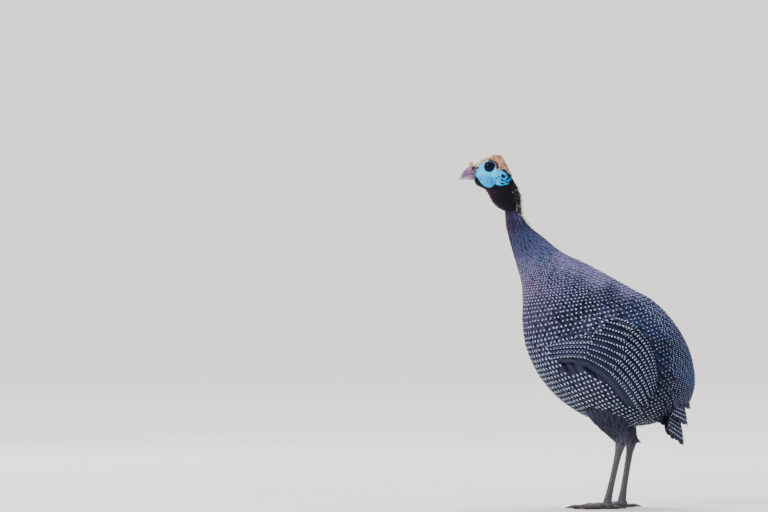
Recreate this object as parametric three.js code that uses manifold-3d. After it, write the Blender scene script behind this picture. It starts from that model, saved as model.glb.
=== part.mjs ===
// A helmeted guineafowl, life size, standing alert on both feet with its neck stretched up.
// Millimetres, +Z up. The bird faces -X, its left side is -Y, and its toes rest on Z = 0.
// Each body part is a closed solid of its own. The flesh solids reach out to the tips of the small
// body feathers; flight feathers, greater coverts and tail feathers are overlapping vanes.
import * as THREE from "three";
import { mergeVertices } from "three/addons/utils/BufferGeometryUtils.js";
import Module from "manifold-3d";

const wasm = await Module();
wasm.setup();
const { Manifold } = wasm;

// Driving dimensions
const GAP = 0.3; // clear space between neighbouring solids
const SECTION_POWER = 2.2; // how square the body's cross-sections are; 2 is an ellipse
const SIDES = 26; // facets round the body
const TRUNK_RINGS = 30; // facets along it
const FINE = 0.1; // flats and creases smaller than this are merged away
const FINE_FEATHERS = 0.18; // the same, where many vanes cross

// Side-view stations [x, z of the front or lower edge, x, z of the back or upper edge, half width]
const TRUNK = [
  [-99, 400.3, -78.4, 401.6, 9.5],
  [-96.7, 380.7, -69, 384.1, 11],
  [-91.9, 360.5, -46.7, 365.9, 15],
  [-85.9, 339.5, -21.1, 345.6, 23],
  [-80.5, 321.3, 10, 330.8, 33],
  [-75.7, 302.4, 41, 314.6, 44],
  [-74.4, 278.1, 72.1, 297, 56],
  [-74.4, 248.4, 99.1, 282.2, 67],
  [-68.3, 213.3, 122, 260.6, 75],
  [-50.8, 176.9, 139.6, 236.3, 78],
  [-21.1, 144.5, 151.7, 210.6, 76],
  [16.7, 121.5, 158, 180.9, 68],
  [57.2, 110.7, 157, 159.3, 53],
  [95, 112.7, 149, 140.4, 33],
  [122, 122, 136, 129, 9],
];
const HEAD = [
  [-139.6, 441.2, -137.8, 461, 7.6],
  [-136.8, 436.2, -131.8, 465.5, 10.6],
  [-131.2, 433.2, -122.3, 468.8, 13.2],
  [-124.4, 429.2, -112.2, 468.6, 14.8],
  [-120.3, 422.6, -101.4, 463.1, 15.2],
  [-117.6, 417.2, -91.9, 451.6, 15],
  [-114.2, 411.8, -83.8, 437.4, 14.4],
  [-109.5, 407, -79.4, 425.2, 13.6],
  [-104.8, 403.6, -77.4, 414.5, 12.4],
  [-99.8, 401.2, -77.8, 404.3, 10.6],
];
const UPPER_BILL = [
  [-134.5, 448.5, -135.5, 463, 8],
  [-143.9, 448.7, -144.6, 463, 6.9],
  [-150, 448.5, -151.4, 458, 5.3],
  [-155, 446, -156.6, 451.9, 3.3],
  [-158.4, 443.2, -159.6, 446.4, 1.7],
  [-160.8, 440.9, -161.4, 441.5, 0.5],
];
const LOWER_BILL = [
  [-135, 442, -135, 448.4, 7.4],
  [-144.6, 443, -144.6, 448.4, 5.8],
  [-150.3, 443.6, -150.7, 448.2, 4.4],
  [-154.4, 443.4, -155.2, 445.8, 2.6],
  [-156.7, 443.4, -156.9, 444.4, 0.8],
];
const CASQUE_RIDGE = [
  // x, z of the base, x, z of the crest, half width low down, half width at the crest
  [-137.2, 457.7, -139, 462.6, 3, 2],
  [-131.8, 456, -133.1, 469.1, 8, 2.4],
  [-122.3, 455, -123.7, 474.3, 12, 2.8],
  [-112.9, 453, -114.2, 477.6, 14, 3.2],
  [-106.1, 451, -105, 478.8, 14.4, 3.2],
  [-102.4, 450, -98.9, 470, 13.6, 4],
  [-98.4, 447, -93.2, 459, 11.5, 5],
  [-93, 446, -88.6, 449.4, 6, 4],
];
const CASQUE_EDGE = [
  [-142, 461], [-134.5, 461], [-126.4, 467.1], [-119.6, 468.9], [-113.2, 466.6], [-109.6, 458.4],
  [-106.3, 455.2], [-103.4, 458.1], [-98, 457], [-92.6, 450.9], [-86.5, 446.5], [-84, 452],
  [-96, 484], [-125, 484], [-142, 470],
];
const CASQUE_SHELL = 1.1; // thickness of the horny skin at its edge

const EYE = { x: -120, z: 460.3, inset: 8.3, radius: 7.4 };
const LID = { facets: [5, 13], radius: 6.5, tube: 1.3, out: 13.4, opening: 0.92, turn: 0.1 };
const EAR = { x: -100.2, z: 447.8, radius: 2.6, rim: 0.9, depth: 2.5 };
const NOSTRIL = {
  x: -140.6, z: 457.6, out: 6.2, long: 3.1, wide: 1.1, deep: 2.4, tilt: 0.95, swell: 1.7, rise: 1.4,
};
const WATTLE = [
  // x, then z of the root and of the hem, half thickness, how far the hem stands out
  [-136.8, 451.6, 449.4, 0.9, 0],
  [-133.8, 452.5, 443.3, 1.5, 1.6],
  [-129.1, 452.9, 437, 1.9, 3],
  [-123.7, 452.5, 433.3, 2.1, 3.8],
  [-118.3, 451.2, 432.4, 2.1, 3.8],
  [-113.5, 448.9, 435, 1.8, 3],
  [-110.2, 444.8, 440.8, 1, 1.6],
];
const WATTLE_OUT = 12.6; // how far from the mid plane a wattle hangs
const WATTLE_BULGE = 1.2; // how far its middle stands out
const BRISTLES = {
  x: -143.6, z: 462.4, count: 9, length: 6.4, width: 1.3, lean: 0.35, root: [2.6, 2.6, 1.6],
  spread: [1.2, 1.3],
};
const BROW = { centre: [-133, 0, 466], radii: [4, 4, 2.4] }; // kept clear of the nasal bristles

const HEAD_CUT = { x: -106, z: 434.7, slope: 0.087 }; // where the head meets the black upper neck
const NECK_BASE = { x: -40, z: 341, nx: 0.42, nz: -0.91 }; // where the neck meets the torso
const TAIL_CUT = { x: 122, z: 143, nx: 0.6, nz: -0.8 }; // where the rump meets the tail
const NECK_TOP = 401.2; // where the feathered neck meets the bare sleeve

const LEG = {
  out: 33, // half the space between the legs' middles
  stagger: 11, // how far the left foot stands ahead of the middle, and the right one behind
  hockX: 66, hockZ: 92, footX: 50, footZ: 9,
};
const THIGH = [
  // share of the way from the body to the hock, half depth, half width
  [0, 35, 26], [0.3, 31, 23], [0.6, 22.5, 17], [0.85, 13.5, 11], [1, 8.6, 7.8],
];
const THIGH_TOP = { x: 34, z: 158 };
const TARSUS = [
  // share of the way from the hock to the foot, half depth, half width
  [0, 7.6, 6.8], [0.1, 6.8, 6], [0.25, 4.8, 4.2], [0.6, 4.3, 3.8], [0.85, 4.8, 4.6], [1, 6, 5.6],
];
const SCUTES = { count: 13, raise: 0.45 };
const TOES = [
  // bearing from straight ahead in degrees, length, half thickness at the root and at the claw
  { name: "inner", turn: 32, length: 34, root: 4.3, end: 2.9 },
  { name: "middle", turn: 0, length: 47, root: 4.6, end: 3 },
  { name: "outer", turn: -32, length: 37, root: 4.3, end: 2.9 },
  { name: "hind", turn: 172, length: 17, root: 3.4, end: 2.4 },
];
const TOE_PADS = { count: 3, swell: 0.09 };
const SOLE = { z: 5.2, radii: [7.6, 7.6, 6.4] }; // the ball of the foot
const CLAW = { length: 10, root: 2.3, tip: 0.35, narrow: 0.75, lift: 1 };

const WING = {
  // side-view outline of the fleshy part of the folded wing, and how far it swells from the body
  outline: [
    [-42, 214], [-36, 240], [-8, 268], [34, 288], [74, 285], [98, 262], [104, 228], [92, 196],
    [62, 182], [24, 190], [-8, 198], [-30, 200],
  ],
  swell: 6,
  sides: 22,
  layers: [0.3, 0.66, 0.88, 1],
};
// Tiers of wing feathers: roots and tips lie along two lines in the side view, lower feather first
const TIERS = {
  primaries: {
    count: 3, roots: [[18, 190], [40, 194]], tips: [[104, 112], [122, 128]],
    bow: 10, width: 18, lift: [1, 1.6], tipLift: 1.6,
  },
  secondaries: {
    count: 8, roots: [[-22, 206], [58, 268]], tips: [[88, 128], [116, 226]],
    bow: 22, width: 22, lift: [3, 3.4], tipLift: 3.2,
  },
  greaterCoverts: {
    count: 5, roots: [[-34, 212], [40, 276]], tips: [[22, 192], [88, 262]],
    bow: 12, width: 24, lift: [6, 6.4], tipLift: 6.2,
  },
};
const FEATHER_TILT = 0.16; // lifts each wing feather's edge over the next one
const VANE = { thick: 0.9, tipThick: 0.6, steps: 3 };
const TAIL_FEATHERS = {
  pairs: 5, length: 66, width: 24, spread: 40, root: { x: 126, z: 150, half: 12 }, sweep: 0.8,
};
const TAIL_COVERTS = {
  pairs: 2, length: 44, width: 26, spread: 26, root: { x: 140, z: 158, half: 16 }, sweep: 0.6,
};
const TAIL_FAN = { shorten: 0.22, forward: 15, turn: 1.1, rise: 1.2 };

// Colours, roughness
const LOOKS = {
  plumage: { color: 0x3a405c, roughness: 0.75 },
  flight: { color: 0x20263a, roughness: 0.7 },
  neck: { color: 0x4a5272, roughness: 0.8 },
  black: { color: 0x1a1822, roughness: 0.7 },
  blue: { color: 0x5fb8e6, roughness: 0.5 },
  horn: { color: 0xb08a72, roughness: 0.6 },
  bill: { color: 0xae95a8, roughness: 0.45 },
  bristle: { color: 0xd8b878, roughness: 0.8 },
  eye: { color: 0x0a0c12, roughness: 0.08 },
  scale: { color: 0x35333a, roughness: 0.65 },
  claw: { color: 0x2a2624, roughness: 0.5 },
};

// Small helpers
const point = (x, y, z) => new THREE.Vector3(x, y, z);
const up = point(0, 0, 1);
const mix = (a, b, t) => a + (b - a) * t;
const smooth = (t) => {
  const c = Math.min(1, Math.max(0, t));
  return c * c * (3 - 2 * c);
};
const signedPower = (value, power) => Math.sign(value) * Math.abs(value) ** power;

// Rows of numbers joined by a smooth curve; t runs from 0 to 1 over the whole table.
function tableCurve(rows) {
  const width = rows[0].length;
  const curves = [];
  for (let k = 0; k < width; k += 3) {
    const points = rows.map((r) => point(r[k], r[k + 1] ?? 0, r[k + 2] ?? 0));
    curves.push(new THREE.CatmullRomCurve3(points, false, "catmullrom", 0.5));
  }
  return (t) => curves.flatMap((c) => c.getPoint(t).toArray()).slice(0, width);
}

// A closed mesh from rings of points; each end is closed by a fan.
function ringsToGeometry(rings) {
  const sides = rings[0].length;
  const positions = rings.flat().flatMap((p) => p.toArray());
  const index = [];
  for (let r = 0; r + 1 < rings.length; r++) {
    for (let s = 0; s < sides; s++) {
      const a = r * sides + s;
      const b = r * sides + ((s + 1) % sides);
      index.push(a, b, a + sides, b, b + sides, a + sides);
    }
  }
  for (const end of [0, rings.length - 1]) {
    const middle = positions.length / 3;
    const centre = rings[end].reduce((sum, p) => sum.add(p), point(0, 0, 0)).divideScalar(sides);
    positions.push(...centre.toArray());
    for (let s = 0; s < sides; s++) {
      const a = end * sides + s;
      const b = end * sides + ((s + 1) % sides);
      if (end === 0) index.push(b, a, middle);
      else index.push(a, b, middle);
    }
  }
  const geometry = new THREE.BufferGeometry();
  geometry.setAttribute("position", new THREE.Float32BufferAttribute(positions, 3));
  geometry.setIndex(index);
  return geometry;
}

function toSolid(geometry) {
  const bare = geometry.clone();
  bare.deleteAttribute("normal");
  bare.deleteAttribute("uv");
  const merged = mergeVertices(bare, 1e-4);
  const vertProperties = new Float32Array(merged.attributes.position.array);
  const triVerts = new Uint32Array(merged.index.array);
  const build = () => new Manifold(new wasm.Mesh({ numProp: 3, vertProperties, triVerts }));
  const made = build();
  if (made.volume() > 0) return made;
  for (let i = 0; i < triVerts.length; i += 3) {
    [triVerts[i + 1], triVerts[i + 2]] = [triVerts[i + 2], triVerts[i + 1]];
  }
  return build();
}

function toGeometry(solid) {
  const mesh = solid.getMesh();
  const geometry = new THREE.BufferGeometry();
  geometry.setAttribute("position", new THREE.Float32BufferAttribute(mesh.vertProperties, 3));
  geometry.setIndex(new THREE.BufferAttribute(new Uint32Array(mesh.triVerts), 1));
  return geometry;
}

const largest = (solid, fine = FINE) =>
  solid.simplify(fine).decompose().reduce((best, s) => (s.volume() > best.volume() ? s : best));
const fuse = (solids) => Manifold.union(solids);

// A plane square to the side view, and the two sides of a solid that it parts
function planeOf({ x, z, nx, nz }) {
  const length = Math.hypot(nx, nz);
  const normal = [nx / length, 0, nz / length];
  return { normal, offset: normal[0] * x + normal[2] * z };
}
const before = (solid, { normal, offset }) =>
  solid.trimByPlane(normal.map((v) => -v), -offset + GAP / 2);
const beyond = (solid, { normal, offset }) => solid.trimByPlane(normal, offset + GAP / 2);

// A squared-off oval section between two side-view points. grow widens it all round.
function section(ax, az, bx, bz, half, sides, grow = 0, power = SECTION_POWER) {
  const centre = point((ax + bx) / 2, 0, (az + bz) / 2);
  const up = point((bx - ax) / 2, 0, (bz - az) / 2);
  up.multiplyScalar((up.length() + grow) / up.length());
  const ring = [];
  for (let s = 0; s < sides; s++) {
    const turn = (2 * Math.PI * s) / sides;
    const along = signedPower(Math.cos(turn), 2 / power);
    const across = signedPower(Math.sin(turn), 2 / power) * (half + grow);
    ring.push(centre.clone().addScaledVector(up, along).add(point(0, across, 0)));
  }
  return ring;
}

function loft(rows, { rings = 20, sides = SIDES, grow = 0 } = {}) {
  const at = tableCurve(rows);
  const made = [];
  for (let r = 0; r <= rings; r++) made.push(section(...at(r / rings), sides, grow));
  return toSolid(ringsToGeometry(made));
}

// An oval ball, for sockets, pits and swellings
function ball(centre, radii, { turn = null, across = 16, down = 10 } = {}) {
  const geometry = new THREE.SphereGeometry(1, across, down);
  geometry.scale(...radii);
  if (turn) geometry.rotateY(turn);
  geometry.translate(...centre);
  return toSolid(geometry);
}

// The trunk's surface
const trunkAt = tableCurve(TRUNK);

// The table place whose section plane holds the side-view point (x, z)
function trunkPlace(x, z) {
  const side = (t) => {
    const [ax, az, bx, bz] = trunkAt(t);
    return (bx - ax) * (z - (az + bz) / 2) - (bz - az) * (x - (ax + bx) / 2);
  };
  let low = 0.12;
  let high = 0.99;
  for (let i = 0; i < 26; i++) {
    const middle = (low + high) / 2;
    if (side(middle) < 0) low = middle;
    else high = middle;
  }
  return (low + high) / 2;
}

// A point on the left side of the trunk, seen at (x, z) from the side
function trunkSide(x, z) {
  const [ax, az, bx, bz, half] = trunkAt(trunkPlace(x, z));
  const dx = bx - ax;
  const dz = bz - az;
  const along = 2 * ((x - (ax + bx) / 2) * dx + (z - (az + bz) / 2) * dz) / (dx * dx + dz * dz);
  const share = Math.min(0.97, Math.abs(along));
  return point(x, -half * (1 - share ** SECTION_POWER) ** (1 / SECTION_POWER), z);
}

function trunkNormal(x, z) {
  const step = 3;
  const slopeX = (trunkSide(x + step, z).y - trunkSide(x - step, z).y) / (2 * step);
  const slopeZ = (trunkSide(x, z + step).y - trunkSide(x, z - step).y) / (2 * step);
  const limit = (v) => Math.max(-1.4, Math.min(1.4, v));
  return point(limit(slopeX), -1, limit(slopeZ)).normalize();
}

const offTrunk = (x, z, height) => trunkSide(x, z).addScaledVector(trunkNormal(x, z), height);

// A feather vane: a thin blade along a path of { at, normal } stops, rounded at the tip. A tilt
// lifts the edge that lies on the next feather.
function vane(path, width, thick, tipThick, tilt = 0) {
  const count = path.length - 1;
  const rings = path.map(({ at, normal }, i) => {
    const s = i / count;
    const ahead = path[Math.min(count, i + 1)].at.clone().sub(path[Math.max(0, i - 1)].at);
    const across = new THREE.Vector3().crossVectors(ahead, normal).normalize();
    const up = new THREE.Vector3().crossVectors(across, ahead).normalize();
    const taper = s < 0.75 ? mix(0.65, 1, smooth(s / 0.5)) : Math.sqrt(1 - ((s - 0.75) / 0.27) ** 2);
    const half = (width / 2) * taper;
    const deep = mix(thick, tipThick, s) / 2;
    const lean = half * Math.sin(tilt) * smooth(s / 0.3);
    const spot = (side, face) =>
      at.clone().addScaledVector(across, side * half).addScaledVector(up, side * lean + face * deep);
    return [spot(-1, 1), spot(1, 1), spot(1, -1), spot(-1, -1)];
  });
  return toSolid(bladeGeometry(rings));
}

// The vane's skin: quads are split alike on the upper and the lower face
function bladeGeometry(rings) {
  const index = [];
  const last = (rings.length - 1) * 4;
  for (let a = 0; a < last; a += 4) {
    const b = a + 4;
    index.push(a, a + 1, b + 1, a, b + 1, b);
    index.push(a + 3, b + 2, a + 2, a + 3, b + 3, b + 2);
    index.push(a + 1, a + 2, b + 2, a + 1, b + 2, b + 1);
    index.push(a + 3, a, b, a + 3, b, b + 3);
  }
  index.push(0, 2, 1, 0, 3, 2, last, last + 1, last + 2, last, last + 2, last + 3);
  const geometry = new THREE.BufferGeometry();
  const positions = rings.flat().flatMap((p) => p.toArray());
  geometry.setAttribute("position", new THREE.Float32BufferAttribute(positions, 3));
  geometry.setIndex(index);
  return geometry;
}

// Head, bill and neck
const headSize = { rings: 15, sides: 18 };
const billSize = { rings: 8, sides: 12 };
const lowerBillSize = { rings: 6, sides: 12 };
const headWhole = loft(HEAD, headSize);
const headGrown = loft(HEAD, { ...headSize, grow: GAP });
const sidePair = [-1, 1];

function eyeCentre(side, inset = EYE.inset) {
  return [EYE.x, side * inset, EYE.z];
}

function lidRing(side) {
  const geometry = new THREE.TorusGeometry(LID.radius, LID.tube, ...LID.facets);
  geometry.scale(1, LID.opening, 1);
  geometry.rotateX(Math.PI / 2);
  geometry.rotateZ(side * LID.turn);
  geometry.translate(EYE.x, side * LID.out, EYE.z);
  return toSolid(geometry);
}

function earRim(side) {
  const geometry = new THREE.TorusGeometry(EAR.radius, EAR.rim, 4, 10);
  geometry.rotateX(Math.PI / 2);
  geometry.translate(EAR.x, side * sideOfHead(EAR.x, EAR.z), EAR.z);
  return toSolid(geometry);
}

// How far the head's side stands from the mid plane, found by looking along Y through the solid
function sideOfHead(x, z) {
  const reach = 30;
  const geometry = new THREE.CylinderGeometry(0.4, 0.4, reach, 8);
  geometry.translate(x, reach / 2, z);
  const core = headWhole.intersect(toSolid(geometry));
  return core.boundingBox().max[1];
}

const headPlane = planeOf({ x: HEAD_CUT.x, z: HEAD_CUT.z, nx: -HEAD_CUT.slope, nz: 1 });

function makeHead() {
  let solid = headWhole;
  for (const side of sidePair) {
    solid = solid.add(lidRing(side)).add(earRim(side));
  }
  for (const side of sidePair) {
    const socket = Array(3).fill(EYE.radius + GAP);
    solid = solid.subtract(ball(eyeCentre(side), socket, { across: 13, down: 8 }));
    const pit = [EAR.radius, EAR.depth, EAR.radius];
    const edge = sideOfHead(EAR.x, EAR.z) + EAR.rim;
    solid = solid.subtract(ball([EAR.x, side * edge, EAR.z], pit, { across: 10, down: 6 }));
  }
  return largest(beyond(solid, headPlane));
}

const neckUpper = largest(before(headWhole, headPlane));

const upperBillGrown = loft(UPPER_BILL, { ...billSize, grow: GAP });
const lowerBillGrown = loft(LOWER_BILL, { ...lowerBillSize, grow: GAP });

// The upper half of the bill, with a swelling round each nostril and a slit in it
function makeUpperBill() {
  const { x, z, out, long, wide, deep, tilt, swell, rise } = NOSTRIL;
  const shape = { turn: -tilt, across: 10, down: 6 };
  let solid = loft(UPPER_BILL, billSize);
  for (const side of sidePair) {
    solid = solid.add(ball([x, side * out, z], [long + swell, wide + rise, wide + swell], shape));
  }
  for (const side of sidePair) {
    const open = side * (out + wide + rise);
    solid = solid.subtract(ball([x, open, z], [long, deep, wide], shape));
  }
  return largest(solid.subtract(headGrown));
}

const makeLowerBill = () =>
  largest(loft(LOWER_BILL, lowerBillSize).subtract(upperBillGrown).subtract(headGrown));

function makeEye(side) {
  return ball(eyeCentre(side), Array(3).fill(EYE.radius), { across: 14, down: 8 });
}

// The casque: a laterally flat ridge on a saddle of horny skin that caps the crown
function makeCasque() {
  const at = tableCurve(CASQUE_RIDGE);
  const rings = [];
  const count = 14;
  const sides = 16;
  for (let r = 0; r <= count; r++) {
    const [ax, az, bx, bz, low, top] = at(r / count);
    const ring = section(ax, az, bx, bz, 1, sides, 0, 2);
    ring.forEach((p, s) => {
      const height = Math.cos((2 * Math.PI * s) / sides);
      p.y *= mix(low, top, smooth((height + 0.5) / 1.2));
    });
    rings.push(ring);
  }
  const ridge = toSolid(ringsToGeometry(rings));
  const edge = new THREE.Shape(CASQUE_EDGE.map(([x, z]) => new THREE.Vector2(x, z)));
  const slab = new THREE.ExtrudeGeometry(edge, { depth: 60, bevelEnabled: false });
  slab.translate(0, 0, -30);
  slab.rotateX(Math.PI / 2);
  const shell = loft(HEAD, { ...headSize, grow: CASQUE_SHELL });
  let solid = ridge.add(shell).intersect(toSolid(slab)).subtract(headGrown);
  for (const side of sidePair) {
    const clear = LID.radius + LID.tube + GAP;
    solid = solid.subtract(ball(eyeCentre(side, LID.out), [clear, clear, clear * 0.95]));
  }
  return largest(solid.subtract(upperBillGrown));
}

function makeWattle(side) {
  const at = tableCurve(WATTLE);
  const rings = [];
  const count = 11;
  const sides = 12;
  for (let r = 0; r <= count; r++) {
    const [x, root, hem, half, out] = at(r / count);
    const ring = [];
    for (let s = 0; s < sides; s++) {
      const turn = (2 * Math.PI * s) / sides;
      const drop = (1 - Math.cos(turn)) / 2;
      const bulge = WATTLE_BULGE * Math.sin(Math.PI * drop);
      const y = WATTLE_OUT + out * smooth(drop) + half * Math.sin(turn) + bulge;
      ring.push(point(x, side * y, mix(root, hem, drop)));
    }
    rings.push(ring);
  }
  return largest(toSolid(ringsToGeometry(rings)).subtract(headGrown).subtract(lowerBillGrown));
}

// A clump of stiff bristles that stands on the cere
function makeBristles() {
  const { lean, spread } = BRISTLES;
  const root = ball([BRISTLES.x, 0, BRISTLES.z], BRISTLES.root, { across: 10, down: 6 });
  const pieces = [root];
  for (let i = 0; i < BRISTLES.count; i++) {
    const turn = (2 * Math.PI * i) / BRISTLES.count;
    const reach = BRISTLES.length * (0.75 + 0.25 * Math.cos(3 * turn));
    const geometry = new THREE.ConeGeometry(BRISTLES.width / 2, reach, 5);
    geometry.translate(0, reach / 2, 0);
    geometry.rotateX(Math.PI / 2 - lean * Math.sin(turn));
    geometry.rotateY(lean * (Math.cos(turn) + 0.4));
    const [ahead, across] = [Math.cos(turn) * spread[0], Math.sin(turn) * spread[1]];
    geometry.translate(BRISTLES.x + ahead, across, BRISTLES.z);
    pieces.push(toSolid(geometry));
  }
  return largest(fuse(pieces).subtract(upperBillGrown).subtract(casqueGrown).subtract(headGrown));
}

// Trunk, split into lower neck, torso and tail
const trunkWhole = loft(TRUNK, { rings: TRUNK_RINGS });
const trunkGrown = loft(TRUNK, { rings: TRUNK_RINGS, grow: GAP });
const neckPlane = planeOf(NECK_BASE);
const tailPlane = planeOf(TAIL_CUT);
const belowSleeve = (solid) => solid.trimByPlane([0, 0, -1], GAP - NECK_TOP);
const neckLower = largest(belowSleeve(before(trunkWhole, neckPlane)));
const torso = largest(before(beyond(trunkWhole, neckPlane), tailPlane));
const rump = largest(beyond(trunkWhole, tailPlane));

// A fan of tail or covert feathers from the rump, sweeping down and out
function tailFan({ pairs, length, width, spread, root, sweep }) {
  const { shorten, forward, turn, rise } = TAIL_FAN;
  const made = [];
  for (let i = -pairs; i <= pairs; i++) {
    const share = i / pairs;
    const reach = length * (1 - shorten * share * share);
    const path = [];
    for (let s = 0; s <= VANE.steps; s++) {
      const t = s / VANE.steps;
      const x = root.x + reach * (0.5 * t - 0.2 * t * t) * sweep - forward * share * share * t;
      const z = root.z - reach * (0.75 * t + 0.25 * t * t);
      const y = share * mix(root.half, spread, Math.sqrt(t));
      const layer = rise * (pairs - Math.abs(i));
      const normal = point(Math.cos(share * turn), Math.sin(share * turn), 0.3).normalize();
      path.push({ at: point(x, y, z).addScaledVector(normal, layer), normal });
    }
    made.push(vane(path, width * (1 - 0.2 * Math.abs(share)), VANE.thick, VANE.tipThick));
  }
  return made;
}

function makeTail() {
  const feathers = [...tailFan(TAIL_FEATHERS), ...tailFan(TAIL_COVERTS)];
  return largest(beyond(fuse([rump, ...feathers]), tailPlane), FINE_FEATHERS);
}

// The folded wing: a swelling that lies on the trunk's side, with tiers of vanes on it
function wingCore() {
  const outline = new THREE.CatmullRomCurve3(WING.outline.map(([x, z]) => point(x, 0, z)), true);
  const centre = WING.outline.reduce((sum, [x, z]) => sum.add(point(x, 0, z)), point(0, 0, 0));
  centre.divideScalar(WING.outline.length);
  const layer = (share, top) => {
    const ring = [];
    for (let s = 0; s < WING.sides; s++) {
      const p = outline.getPoint(s / WING.sides).lerp(centre, 1 - share);
      const height = top ? GAP + 0.6 + WING.swell * Math.sqrt(1 - share ** 3) : GAP * 1.6;
      ring.push(offTrunk(p.x, p.z, height));
    }
    return ring;
  };
  const under = WING.layers.map((share) => layer(share, false));
  const over = WING.layers.map((share) => layer(share, true)).reverse();
  return toSolid(ringsToGeometry([...under, ...over]));
}

function wingVanes(tier) {
  const made = [];
  for (let i = 0; i < tier.count; i++) {
    const t = tier.count > 1 ? i / (tier.count - 1) : 0;
    const [rx, rz] = [0, 1].map((k) => mix(tier.roots[0][k], tier.roots[1][k], t));
    const [tx, tz] = [0, 1].map((k) => mix(tier.tips[0][k], tier.tips[1][k], t));
    const path = [];
    for (let s = 0; s <= VANE.steps; s++) {
      const u = s / VANE.steps;
      const bow = tier.bow * Math.sin(Math.PI * u);
      const x = mix(rx, tx, u) + bow * 0.55;
      const z = mix(rz, tz, u) + bow * 0.8;
      const base = mix(tier.lift[0], tier.lift[1], t);
      const height = mix(base, tier.tipLift + t * 0.6, u);
      path.push({ at: offTrunk(x, z, height), normal: trunkNormal(x, z) });
    }
    made.push(vane(path, tier.width, VANE.thick, VANE.tipThick, FEATHER_TILT));
  }
  return made;
}

const wingFeathers = Object.values(TIERS).flatMap(wingVanes);
const leftWing = largest(fuse([wingCore(), ...wingFeathers]).subtract(trunkGrown), FINE_FEATHERS);
const mirrored = (solid) => solid.mirror([0, 1, 0]);

// Legs
function limb(from, to, rows, { rings = 12, sides = 14, ridge = null } = {}) {
  const at = tableCurve(rows);
  const axis = to.clone().sub(from);
  const ahead = axis.clone().normalize();
  const across = point(0, 1, 0);
  const front = new THREE.Vector3().crossVectors(across, ahead).normalize();
  const made = [];
  for (let r = 0; r <= rings; r++) {
    const t = r / rings;
    const [share, deep, half] = at(t);
    const centre = from.clone().addScaledVector(axis, share);
    const ring = [];
    for (let s = 0; s < sides; s++) {
      const turn = (2 * Math.PI * s) / sides;
      const forward = Math.cos(turn);
      const raise = ridge && forward > 0.2 ? ridge(t) * forward : 0;
      ring.push(
        centre.clone()
          .addScaledVector(front, forward * (deep + raise))
          .addScaledVector(across, Math.sin(turn) * half),
      );
    }
    made.push(ring);
  }
  return toSolid(ringsToGeometry(made));
}

function legPlaces(side) {
  const shift = side < 0 ? -LEG.stagger : LEG.stagger;
  const y = side * LEG.out;
  return {
    top: point(THIGH_TOP.x + shift * 0.2, y * 0.95, THIGH_TOP.z),
    hock: point(LEG.hockX + shift * 0.75, y, LEG.hockZ),
    foot: point(LEG.footX + shift, y, LEG.footZ),
  };
}

const hockCut = (side) => {
  const { hock, foot } = legPlaces(side);
  const normal = foot.clone().sub(hock).normalize();
  return { normal: normal.toArray(), offset: normal.dot(hock) + 2 };
};

function makeThigh(side) {
  const { top, hock } = legPlaces(side);
  const solid = limb(top, hock, THIGH, { rings: 12, sides: 18 }).subtract(trunkGrown);
  return largest(before(solid, hockCut(side)));
}

function makeTarsus(side) {
  const { hock, foot } = legPlaces(side);
  const steps = SCUTES.count * 2;
  const ridge = (t) => (Math.round(t * steps) % 2 ? SCUTES.raise : -SCUTES.raise);
  const shank = limb(hock, foot, TARSUS, { rings: steps, sides: 12, ridge });
  return largest(beyond(shank, hockCut(side)).trimByPlane([0, 0, 1], LEG.footZ + GAP));
}

function toePath(foot, toe, side) {
  const bearing = ((toe.turn * Math.PI) / 180) * side;
  const dir = point(-Math.cos(bearing), -Math.sin(bearing), 0);
  const along = (length) => foot.clone().addScaledVector(dir, length);
  return { dir, start: along(1), end: along(toe.length) };
}

function toeSolid(foot, toe, side) {
  const { dir, start } = toePath(foot, toe, side);
  const across = point(-dir.y, dir.x, 0);
  const rings = [];
  const count = 7;
  const sides = 7;
  for (let r = 0; r <= count; r++) {
    const t = r / count;
    const pad = 1 + TOE_PADS.swell * Math.cos(2 * Math.PI * t * TOE_PADS.count);
    const half = mix(toe.root, toe.end, t) * pad;
    const centre = start.clone().addScaledVector(dir, t * (toe.length - 1));
    centre.z = mix(toe.root + 1, toe.end * 0.92, smooth(t * 2.5));
    const ring = [];
    for (let s = 0; s < sides; s++) {
      const turn = (2 * Math.PI * (s + 0.5)) / sides;
      const p = centre.clone().addScaledVector(across, Math.cos(turn) * half);
      ring.push(p.addScaledVector(up, Math.sin(turn) * half));
    }
    rings.push(ring);
  }
  return toSolid(ringsToGeometry(rings));
}

function makeFoot(side) {
  const { foot } = legPlaces(side);
  const sole = ball([foot.x, foot.y, SOLE.z], SOLE.radii, { across: 14, down: 8 });
  const toes = TOES.map((toe) => toeSolid(foot, toe, side));
  const solid = fuse([sole, ...toes]).trimByPlane([0, 0, 1], 0);
  return largest(solid.trimByPlane([0, 0, -1], -LEG.footZ));
}

function makeClaw(side, toe) {
  const { foot } = legPlaces(side);
  const { dir, end } = toePath(foot, toe, side);
  const across = point(-dir.y, dir.x, 0);
  const rings = [];
  const count = 4;
  const sides = 6;
  for (let r = 0; r <= count; r++) {
    const t = r / count;
    const half = mix(CLAW.root, CLAW.tip, t ** 1.3);
    const centre = end.clone().addScaledVector(dir, GAP + t * CLAW.length);
    centre.z = mix(toe.end + 0.3, CLAW.lift, t * t);
    const ring = [];
    for (let s = 0; s < sides; s++) {
      const turn = (2 * Math.PI * s) / sides;
      const p = centre.clone().addScaledVector(across, Math.cos(turn) * half * CLAW.narrow);
      ring.push(p.addScaledVector(up, Math.sin(turn) * half));
    }
    rings.push(ring);
  }
  return toSolid(ringsToGeometry(rings));
}

// Assembly
const bird = new THREE.Group();
const materials = Object.fromEntries(
  Object.entries(LOOKS).map(([name, look]) => [name, new THREE.MeshStandardMaterial(look)]),
);

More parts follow.
